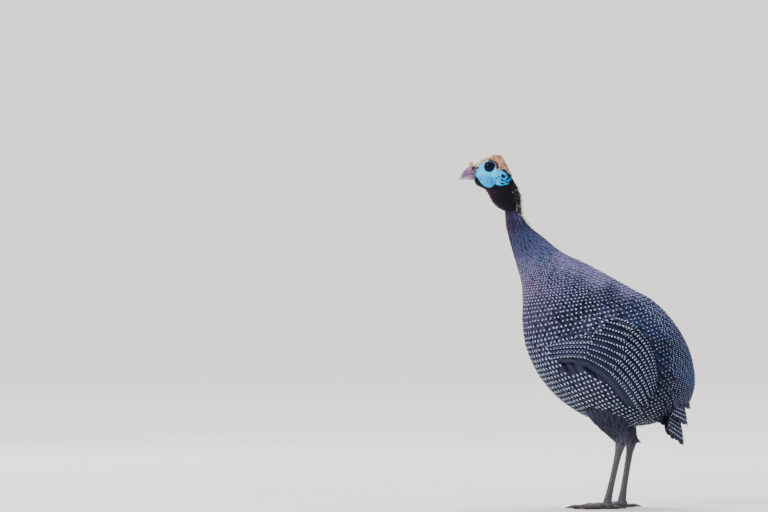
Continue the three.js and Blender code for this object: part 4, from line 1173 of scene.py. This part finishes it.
def trunk_side(x, z):
    """Half width of the body at places of the side view, and how it falls off along x and z."""

    def width(x, z):
        low, high = np.full(x.shape, 0.02), np.full(x.shape, 1.0)
        for _ in range(20):
            middle = (low + high) / 2
            ax, az, bx, bz, _half = smooth_rows(TRUNK, middle).T
            before = (bx - ax) * (z - az) - (bz - az) * (x - ax) < 0
            low, high = np.where(before, middle, low), np.where(before, high, middle)
        ax, az, bx, bz, half = smooth_rows(TRUNK, low).T
        dx, dz = bx - ax, bz - az
        v = 2 * ((x - ax) * dx + (z - az) * dz) / (dx**2 + dz**2) - 1
        v = np.clip(np.abs(v), 0, 0.985)
        return half * (1 - v**SECTION_POWER) ** (1 / SECTION_POWER)

    y = width(x, z)
    return y, (width(x + 1, z) - width(x - 1, z)) / 2, (width(x, z + 1) - width(x, z - 1)) / 2


def on_flank(x, z, height, side):
    """Points over the body's side, by their place in the side view."""
    y, fall_x, fall_z = trunk_side(np.ravel(x), np.ravel(z))
    normal = np.stack([-fall_x, np.ones_like(y), -fall_z], -1)
    normal /= np.linalg.norm(normal, axis=1, keepdims=True)
    made = np.stack([np.ravel(x), y, np.ravel(z)], -1) + normal * np.ravel(height)[:, None]
    made[:, 1] *= side
    return made.reshape(np.shape(x) + (3,))


def wing_table():
    """Side-view places of the wing at even steps along each streamline, and their lengths."""
    p, q = np.meshgrid(np.linspace(0, 1, 200), WING_Q, indexing="ij")
    flat = wing_flat(p, q)
    run = np.concatenate([np.zeros((1, len(WING_Q))), np.cumsum(np.linalg.norm(
        np.diff(flat, axis=0), axis=2), 0)])
    even = [[np.interp(np.linspace(0, run[-1, j], WING_STEPS + 1), run[:, j], flat[:, j, axis])
             for axis in range(2)] for j in range(len(WING_Q))]
    return np.moveaxis(even, -1, 0), run[-1]


wing_even, wing_length = wing_table()


def on_wing(p, q, height, side):
    """Points over the folded wing: p along the streamlines, q from the lower edge up."""
    row, over = np.clip(p, 0, 1) * WING_STEPS, p - np.clip(p, 0, 1)
    r0 = np.minimum(row.astype(int), WING_STEPS - 1)
    column = np.clip((q - WING_Q[0]) / (WING_Q[1] - WING_Q[0]), 0, len(WING_Q) - 1.001)
    c0 = column.astype(int)
    kr, kc = (row - r0)[..., None], (column - c0)[..., None]

    def read(r):
        return wing_even[r, c0] * (1 - kc) + wing_even[r, c0 + 1] * kc

    low, high = read(r0), read(r0 + 1)
    flat = low * (1 - kr) + high * kr + (high - low) * WING_STEPS * over[..., None]
    return on_flank(flat[..., 0], flat[..., 1], height + wing_height(p, q), side)


def wing_place(p0, q0, side):
    """A place function for wing feathers: millimetres along and across the streamlines."""
    length = np.interp(q0, WING_Q, wing_length)

    def place(a, b, h):
        return on_wing(per_feather(p0, a) + a / per_feather(length, a),
                       per_feather(q0, a) + b / WING_DEPTH, h, side)
    return place, length


LONG_STATIONS = np.array([0.0, 0.12, 0.3, 0.48, 0.64, 0.79, 0.9, 0.97, 1.0])
LONG_WIDTHS = np.array([0.5, 0.85, 1.0, 1.0, 1.0, 0.98, 0.84, 0.5, 0.15])
COVERT_STATIONS = np.array([0.0, 0.25, 0.55, 0.8, 0.94, 1.0])
COVERT_WIDTHS = np.array([0.5, 0.9, 1.0, 0.94, 0.6, 0.2])
# name, start, end, how many, first strip, width in strips, height at root and tip, roll
WING_TIERS = [
    ("primaries", 0.04, 0.86, 6, -1.95, 1.7, -0.9, -0.9, 0.05),
    ("secondaries", 0.3, 1.0, 10, -0.1, 1.5, -0.2, -0.2, 0.15),
    ("greater_coverts", 0.1, 0.6, 10, -0.1, 1.5, 0.2, 1.1, 0.13),
    ("median_coverts", -0.06, 0.34, 10, -0.1, 1.45, 0.5, 1.9, 0.11),
]
# where each tier's marks begin along the wing, their pitch, and their rows: kind, distance from
# the feather's lower edge, shift
WING_MARKS = {
    "secondaries": (0.5, 4.2, [("bars", 1.9, 0.0), ("short_bars", 4.9, 0.35)]),
    "greater_coverts": (0.26, 4.0, [("dots", 1.7, 0.0)]),
    "median_coverts": (-0.06, 4.6, [("edging", 0.5, 0.0), ("dots", 2.1, 0.0),
                                    ("specks", 5.3, 0.5)]),
}
# half length and half width of each kind of mark
MARK_SIZES = {"bars": (0.74, 1.5), "short_bars": (0.62, 1.0), "dots": (1.12, 1.1),
              "specks": (0.6, 0.56), "edging": (2.4, 0.36)}
MARK_END, MARK_TIP, EDGING_EVERY = 2.4, 1.6, 3  # space left at the feather's end; every third one
WING_DARK, WING_LILAC = np.array(srgb(16, 22, 48)), np.array(srgb(42, 41, 74))
SLATE = np.array(srgb(36, 43, 66))
WING_CUP = 0.25
PAD_ROWS, PAD_COLUMNS, PAD_FROM, PAD_TO = 40, 30, (0.03, -0.02), (0.97, 0.98)
wing_feather = feather_material("wing_feather", 0.5, 34.0, 0.55)


def wing_color(p, q):
    """Near black at the tips, with lilac slate towards the shoulder."""
    share = smooth_step(0.42 - p, 0, 0.3) * 0.8 + 0.3 * smooth_step(q, 0.75, 1.0)
    return painted(p.shape + (3,), WING_DARK, (WING_LILAC, np.clip(share, 0, 1)))


def wing_pad(side, hand):
    """The wing's flesh: a closed pillow under the feathers, thin at its rim, coloured near black
    as painted shade.
    """
    p, q = np.meshgrid(np.linspace(PAD_FROM[0], PAD_TO[0], PAD_ROWS),
                       np.linspace(PAD_FROM[1], PAD_TO[1], PAD_COLUMNS), indexing="ij")
    rim = smooth_step(np.minimum(np.minimum(p - PAD_FROM[0], PAD_TO[0] - p) * 12,
                                 np.minimum(q - PAD_FROM[1], PAD_TO[1] - q) * 8), 0, 1)
    over = on_wing(p, q, -1.6 - 2.0 * (1 - rim), side)
    under = on_flank(over[..., 0], over[..., 2], -5.0 * rim - 1.0, side)
    sheet = np.stack([over, under]).reshape(-1, 3)
    k = np.arange(p.size).reshape(p.shape)
    top = np.stack([k[:-1, :-1], k[1:, :-1], k[1:, 1:], k[:-1, 1:]], -1).reshape(-1, 4)
    loop = np.concatenate([k[:, 0], k[-1, 1:], k[-2::-1, -1], k[0, -2:0:-1]])
    after = np.roll(loop, -1)
    walls = np.stack([loop, after, after + p.size, loop + p.size], -1)
    # the pad's near-black colour is painted shade under the feathers
    pad = mesh_from("wing_pad_" + hand, sheet,
                    np.concatenate([top, top[:, ::-1] + p.size, walls]), soft_feather,
                    colors=np.broadcast_to(WING_DARK * 0.6, sheet.shape))
    link_piece("wing_pad_" + hand, close_mesh(pad, reach=0), "plumage", "wing_" + hand)


for side, hand in ((-1, "left"), (1, "right")):
    wing_pad(side, hand)
    draw = np.random.default_rng(201)
    marks = {kind: [] for kind in MARK_SIZES}
    for name, start, end, count, first, wide, low, high, roll in WING_TIERS:
        is_primary = name == "primaries"
        q0 = (np.arange(count) * (0.5 if is_primary else 1.0) + first + 0.5) / WING_STRIPS
        p0 = start + draw.uniform(-0.03, 0.03, count)
        place, length = wing_place(p0, q0, side)
        reach = (end - p0 + draw.uniform(-0.03, 0.03, count)) * length
        stations, widths = ((LONG_STATIONS, LONG_WIDTHS) if name in ("primaries", "secondaries")
                            else (COVERT_STATIONS, COVERT_WIDTHS))
        width = wide * WING_DEPTH / WING_STRIPS
        stack = np.linspace(2.6, 0, count) if is_primary else 0.0
        laid = lay_vanes(place, reach, width, low + stack, high + stack, WING_CUP, stations,
                         widths, roll=-roll)
        shade = draw.uniform(0.85, 1.15, (count, 1))
        share = p0[:, None] + np.linspace(0, 1, len(stations) * 4) * (reach / length)[:, None]
        tones = wing_color(share, q0[:, None] + share * 0) * shade[..., None]
        link_feathers(name + "_" + hand, laid, wing_feather, "flight_feathers",
                      np.stack([0.15 + 0.6 * q0, np.full(count, start)], -1),
                      SLATE * shade if is_primary else tones.reshape(-1, 3))
        if is_primary:
            continue
        shown, pitch, rows = WING_MARKS[name]
        for k in range(count):
            steps = np.arange((shown - p0[k]) * length[k] + 0.4 * pitch * (k % 2),
                              reach[k] - MARK_END, pitch)
            edge = np.interp(steps / reach[k], stations, widths) * width / 2
            for kind, inset, shift in rows:
                if kind == "edging" and k % EDGING_EVERY:
                    continue
                a, b = steps + shift * pitch, inset - edge
                fit = (a < reach[k] - MARK_TIP) & (edge > inset + 0.8)
                a, b = a[fit], b[fit]
                height = low + (high - low) * a / reach[k] - roll * b
                height = height + WING_CUP * (1 - np.abs(b) / edge[fit])
                marks[kind].append(np.stack(np.broadcast_arrays(p0[k], q0[k], a, b, height), -1))

    for kind, (half_long, half_wide) in MARK_SIZES.items():
        mp, mq, a, b, height = np.concatenate(marks[kind]).T
        size = draw.uniform(0.85, 1.12, len(mp))
        laid = lay_pearls(wing_place(mp, mq, side)[0], a, b, height, half_long * size,
                          half_wide * size)
        link_feathers("pearl_%s_%s" % (kind, hand), laid, pearl_white, "flight_feathers",
                      np.stack([0.15 + 0.6 * mq + b / 200, mp + a / 200], -1),
                      PEARL * draw.uniform(0.84, 1.0, (len(mp), 1)))

# ---- Tail
# Short stiff feathers hang down in a fan behind the rump, under tiers of softer coverts that cover
# all but their ends. They carry small pearls in rows across the vane.
FAN_ROOT, FAN_SPREAD = 14.0, 40.0  # half width of the fan at its root and its end
TAIL_CUP, TAIL_ROW = 0.35, 5.6
TAIL_ROWS = (-0.42, 0.0, 0.42), (-0.62, -0.2, 0.2, 0.62)  # pearls across the vane, by turns
# name, how many, length, width, root x, root z, drop, root and tip heights
TAIL_TIERS = [
    ("tail_feathers", 14, 66.0, 13.0, 126.0, 150.0, 0.8, 0.0, 0.0),
    ("under_tail_coverts_long", 9, 46.0, 14.0, 122.0, 150.0, 0.62, -2.0, -2.4),
    ("under_tail_coverts_short", 9, 34.0, 14.0, 116.0, 146.0, 0.6, -4.0, -5.0),
    ("upper_tail_coverts_long", 11, 48.0, 15.0, 135.0, 158.0, 0.7, 0.6, 2.2),
    ("upper_tail_coverts_short", 11, 36.0, 15.0, 143.0, 168.0, 0.5, 0.0, 2.6),
]


def on_fan(t, share, height, root_x, root_z, length, drop):
    """Points over the hanging fan of the tail: t down the feathers, share from side to side."""
    reach = length * (1 - 0.22 * share**2)
    x = root_x + reach * (0.5 * t - 0.2 * t * t) * drop - 15 * share**2 * t
    z = root_z - reach * (0.75 * t + 0.25 * t * t)
    y = share * (FAN_ROOT + (FAN_SPREAD - FAN_ROOT) * np.sqrt(np.clip(t, 0, 1.1)))
    out = np.stack([np.cos(share * 1.1), np.sin(share * 1.1), np.full(share.shape, 0.3)], -1)
    out /= np.linalg.norm(out, axis=-1, keepdims=True)
    return np.stack([x, y, z], -1) + out * height[..., None]


draw = np.random.default_rng(301)
tail_marks = []
for name, count, length, width, root_x, root_z, drop, low, high in TAIL_TIERS:
    share0 = np.linspace(-1, 1, count)
    layer = 0.45 * (1 - np.abs(share0)) * (count / 4)

    def place(a, b, h):
        return on_fan(a / length, per_feather(share0, a) + b / (FAN_SPREAD - 4),
                      h + per_feather(layer, a), root_x, root_z, length, drop)

    laid = lay_vanes(place, length * draw.uniform(0.97, 1.03, count), width, low, high, TAIL_CUP,
                     LONG_STATIONS, LONG_WIDTHS)
    # the tail's colour is read from the rump, and it carries that place's painted sheen
    ground_here = ground_and_painted_light(np.array([[root_x, 0, root_z - length * 0.5]]))[0]
    link_feathers(name, laid, wing_feather, "flight_feathers",
                  np.stack([0.5 + 0.12 * share0, np.full(count, 0.9 + 0.02 * low / 5)], -1),
                  ground_here * draw.uniform(0.8, 1.15, (count, 1)),
                  *(("tail",) if name == "tail_feathers" else ()))
    face = 1 if low >= 0 else -1
    for k in range(count):
        for step in np.arange(length * 0.3, length - 3.5, TAIL_ROW):
            edge = np.interp(step / length, LONG_STATIONS, LONG_WIDTHS) * width / 2
            for b in TAIL_ROWS[int(step / TAIL_ROW) % 2]:
                rise = low + (high - low) * step / length + TAIL_CUP * (1 - abs(b)) + layer[k]
                tail_marks.append((step, share0[k] + b * edge / (FAN_SPREAD - 4),
                                   rise - (0.2 if face < 0 else 0), face, root_x, root_z,
                                   length, drop))
step, share, rise, face, root_x, root_z, length, drop = np.array(tail_marks).T[:, :, None]


def place_tail_mark(a, b, h):
    return on_fan((step + a) / length, share + b / (FAN_SPREAD - 4), rise + face * h, root_x,
                  root_z, length, drop)


count = len(tail_marks)
size, zero = draw.uniform(0.6, 0.82, count), np.zeros(count)
laid = lay_pearls(place_tail_mark, zero, zero, zero, size * 1.25, size)
pearls = link_feathers("pearls_tail", laid, pearl_white, "flight_feathers",
                       np.stack([0.5 + 0.12 * share[:, 0], 0.86 + step[:, 0] / 1000], -1),
                       PEARL * draw.uniform(0.7, 0.95, (count, 1)))
close_mesh(pearls.data, reach=0)

# ---- Thighs
# Muscular thighs stand out of the belly under short soft slate feathers, and narrow to the bare
# hock. The feathers lie in rings like shingles and end in a loose fringe.
LEG_OUT, LEG_STAGGER = 33.0, 11.0
HOCK, FOOT, THIGH_TOP = (66.0, 92.0), (50.0, 9.0), (34.0, 158.0)
THIGH = [  # share of the length, half depth, half width
    (0.0, 35.0, 26.0), (0.3, 31.0, 23.0), (0.6, 22.5, 17.0), (0.85, 13.5, 11.0), (1.0, 8.6, 7.8),
]


def leg_places(side):
    """Top of the thigh, hock and foot of one leg."""
    shift, y = side * LEG_STAGGER, side * LEG_OUT
    return (np.array([THIGH_TOP[0] + shift * 0.2, y * 0.95, THIGH_TOP[1]]),
            np.array([HOCK[0] + shift * 0.75, y, HOCK[1]]),
            np.array([FOOT[0] + shift, y, FOOT[1]]))


def on_limb(begin, end, rows, t, turn, height):
    """Points over an oval limb: t along it, turn round it from the front."""
    axis = end - begin
    ahead = axis / np.linalg.norm(axis)
    front = np.cross([0.0, 1.0, 0.0], ahead)
    front /= np.linalg.norm(front)
    share, deep, half = smooth_rows(rows, np.ravel(t)).T.reshape((3,) + np.shape(t))
    over = np.maximum(t - 1, 0)
    made = begin + axis * (share + over)[..., None]
    made = made + front * (np.cos(turn) * (deep + height))[..., None]
    return made + np.array([0.0, 1.0, 0.0]) * (np.sin(turn) * (half + height))[..., None]


THIGH_RINGS, THIGH_FIRST, THIGH_STEP, THIGH_GAP = 19, 0.16, 0.043, 6.2
THIGH_DARK, THIGH_SLATE = srgb(40, 40, 60), srgb(74, 70, 88)
for side, hand in ((-1, "left"), (1, "right")):
    top, hock, foot = leg_places(side)
    base = on_limb(top, hock, THIGH, *tube_places(60, 96, end=0.99), -2.5)
    link_tube("thigh_skin_" + hand, base, living_skin, "black_skin", "thigh_" + hand,
              colors=painted(base.shape, GROUND_DARK))
    draw = np.random.default_rng(401)
    cells = []
    reach = np.linalg.norm(hock - top)
    for row in range(THIGH_RINGS):
        t0 = THIGH_FIRST + THIGH_STEP * row
        deep, half = smooth_rows(THIGH, np.array([t0]))[0, 1:]
        girth = 2 * np.pi * math.sqrt((deep**2 + half**2) / 2)
        count = int(round(girth / THIGH_GAP))
        turn0 = (np.arange(count) + 0.5 * (row % 2)) / count * 2 * np.pi
        cells.append(np.stack(np.broadcast_arrays(t0, turn0, girth), -1))
    t0, turn0, girth = np.concatenate(cells).T
    count = len(t0)

    def place(a, b, h):
        return on_limb(top, hock, THIGH, per_feather(t0, a) + a / reach,
                       per_feather(turn0, a) + b / per_feather(girth, a) * 2 * np.pi, h)

    laid = lay_vanes(place, draw.uniform(13, 17, count), 7.6, -2.2,
                     draw.uniform(-0.2, 0.5, count), 0.45, turn=draw.normal(0, 0.12, count))
    shade = painted((count, 3), THIGH_DARK, (THIGH_SLATE, smooth_step(t0, 0.45, 0.95)))
    link_feathers("coat_thigh_" + hand, laid, soft_feather, "plumage",
                  np.stack([turn0 / (2 * np.pi), t0], -1),
                  shade * draw.uniform(0.8, 1.2, (count, 1)))

# ---- Shanks, toes and claws
# Bare dark grey shanks carry broad scutes down the front and small scales behind. Four scaly toes
# spread flat on the ground, each with a blunt dark claw.
TARSUS = [  # share of the length, half depth, half width
    (0.0, 7.6, 6.8), (0.1, 6.8, 6.0), (0.25, 4.8, 4.2), (0.6, 4.3, 3.8), (0.85, 4.8, 4.6),
    (1.0, 6.0, 5.6),
]
# name, bearing in degrees from straight ahead, length, radius at root and end
TOES = [("inner", 32, 34, 4.3, 2.9), ("middle", 0, 47, 4.6, 3.0), ("outer", -32, 37, 4.3, 2.9),
        ("hind", 172, 17, 3.4, 2.4)]
CLAW_LENGTH, CLAW_ROOT, CLAW_END, CLAW_LIFT, CLAW_SUNK = 10.3, 2.4, 0.35, 1.0, 3.4
SCUTES, SCALE_ROWS, SCALE_COLUMNS, TOE_SCUTE = 15, 34, 14, 2.6
PAD_RADIUS, PAD_HALF_HIGH, PAD_MIDDLE, SOLE = 7.4, 6.2, 5.4, 0.15
SHANK_DARK, SHANK_LIGHT, PAD_GREY = srgb(40, 38, 46), srgb(92, 88, 98), srgb(70, 66, 76)
TOE_DARK, TOE_LIGHT = srgb(44, 41, 48), srgb(98, 92, 100)
FLAT, UP = np.array([1, 1, 0]), np.array([0.0, 0.0, 1.0])
leg_scale = grained_material(
    "leg_scale", 380, (0.6, 0.6, 0.62), (1.25, 1.2, 1.16), (0.4, 0.0005), (0.34, 0.68),
    tinted=True, roughness=0.55, uneven=(0.3, 0.38))
claw_horn = grained_material("claw_horn", 500, srgb(30, 26, 26), srgb(74, 66, 62),
                             (0.25, 0.0003), roughness=0.42)


def plate_wave(s, round_by=0.16):
    """Height of a row of plates: flat on each plate, with a narrow groove between."""
    place = np.abs(np.mod(s, 1) - 0.5) * 2
    return 1 - smooth_step(place, 1 - round_by * 2, 1.0)


for side, hand in ((-1, "left"), (1, "right")):
    top, hock, foot = leg_places(side)
    t, turn = tube_places(360, 72)
    front = smooth_step(np.cos(turn), 0.1, 0.45)
    scutes, across = plate_wave(t * SCUTES), turn / (2 * np.pi) * SCALE_COLUMNS
    small = plate_wave(t * SCALE_ROWS + 0.5 * np.mod(np.round(across), 2), 0.3)
    small = small * plate_wave(across + 0.5, 0.3)
    relief = front * (scutes - 1) * 0.55 + (1 - front) * (small - 1) * 0.4
    shank = on_limb(hock, foot, TARSUS, t, turn, relief)
    tone = np.where(front > 0.5, scutes, small) * 0.75
    link_tube("shank_" + hand, shank, leg_scale, "leg_scales", "tarsus_" + hand,
              colors=painted(shank.shape, SHANK_DARK, (SHANK_LIGHT, tone)))

    fall, spin = tube_places(40, 64, 0.02, np.pi - 0.02)
    pad = np.stack([PAD_RADIUS * np.sin(fall) * np.cos(spin),
                    PAD_RADIUS * np.sin(fall) * np.sin(spin), PAD_HALF_HIGH * np.cos(fall)], -1)
    pad = pad + np.array([foot[0], foot[1], PAD_MIDDLE])
    pad[..., 2] = np.maximum(pad[..., 2], SOLE)
    pad = pad + 0.18 * ripple(pad, 3.0, 90)[..., None] * FLAT
    link_tube("foot_pad_" + hand, pad, leg_scale, "leg_scales", "foot_" + hand,
              colors=painted(pad.shape, PAD_GREY))
    for name, bearing, length, root, end in TOES:
        angle = math.radians(bearing) * side
        way = np.array([-math.cos(angle), -math.sin(angle), 0.0])
        across = np.array([-way[1], way[0], 0.0])
        t, turn = tube_places(150, 48)
        joints = 1 + 0.09 * np.cos(2 * np.pi * t * 3)
        closed = np.sqrt(np.clip((1 - t) * 24, 0, 1)) * np.sqrt(np.clip(t * 9 + 0.2, 0, 1))
        upper = smooth_step(np.sin(turn), 0.0, 0.5)
        plates = plate_wave(t * length / TOE_SCUTE)
        half = (root + (end - root) * t) * joints * closed + upper * (plates - 1) * 0.4 * closed
        lift = root + 1 + (end * 0.92 - root - 1) * smooth_step(t * 2.5, 0, 1)
        toe = foot * FLAT + way * (1 + t * (length - 1))[..., None]
        toe = toe + UP * (lift + np.sin(turn) * half)[..., None]
        toe = toe + across * (np.cos(turn) * half)[..., None]
        toe[..., 2] = np.maximum(toe[..., 2], 0.1 + 0.1 * ripple(toe, 2.4, 91))
        link_tube("toe_%s_%s" % (name, hand), toe, leg_scale, "leg_scales",
                  colors=painted(toe.shape, TOE_DARK, (TOE_LIGHT, upper * plates * 0.8)))

        t, turn = tube_places(40, 32)
        half = CLAW_ROOT + (CLAW_END - CLAW_ROOT) * t**1.5
        run = length - CLAW_SUNK + t * (CLAW_LENGTH + CLAW_SUNK)
        lift = end + 0.3 + (CLAW_LIFT - end - 0.3) * t * t
        claw = foot * FLAT + way * run[..., None] + UP * (lift + np.sin(turn) * half)[..., None]
        claw = claw + across * (np.cos(turn) * half * 0.75)[..., None]
        node = "claw_%s_%s" % (name, hand)
        link_tube(node + "_horn", claw, claw_horn, "claws", node)
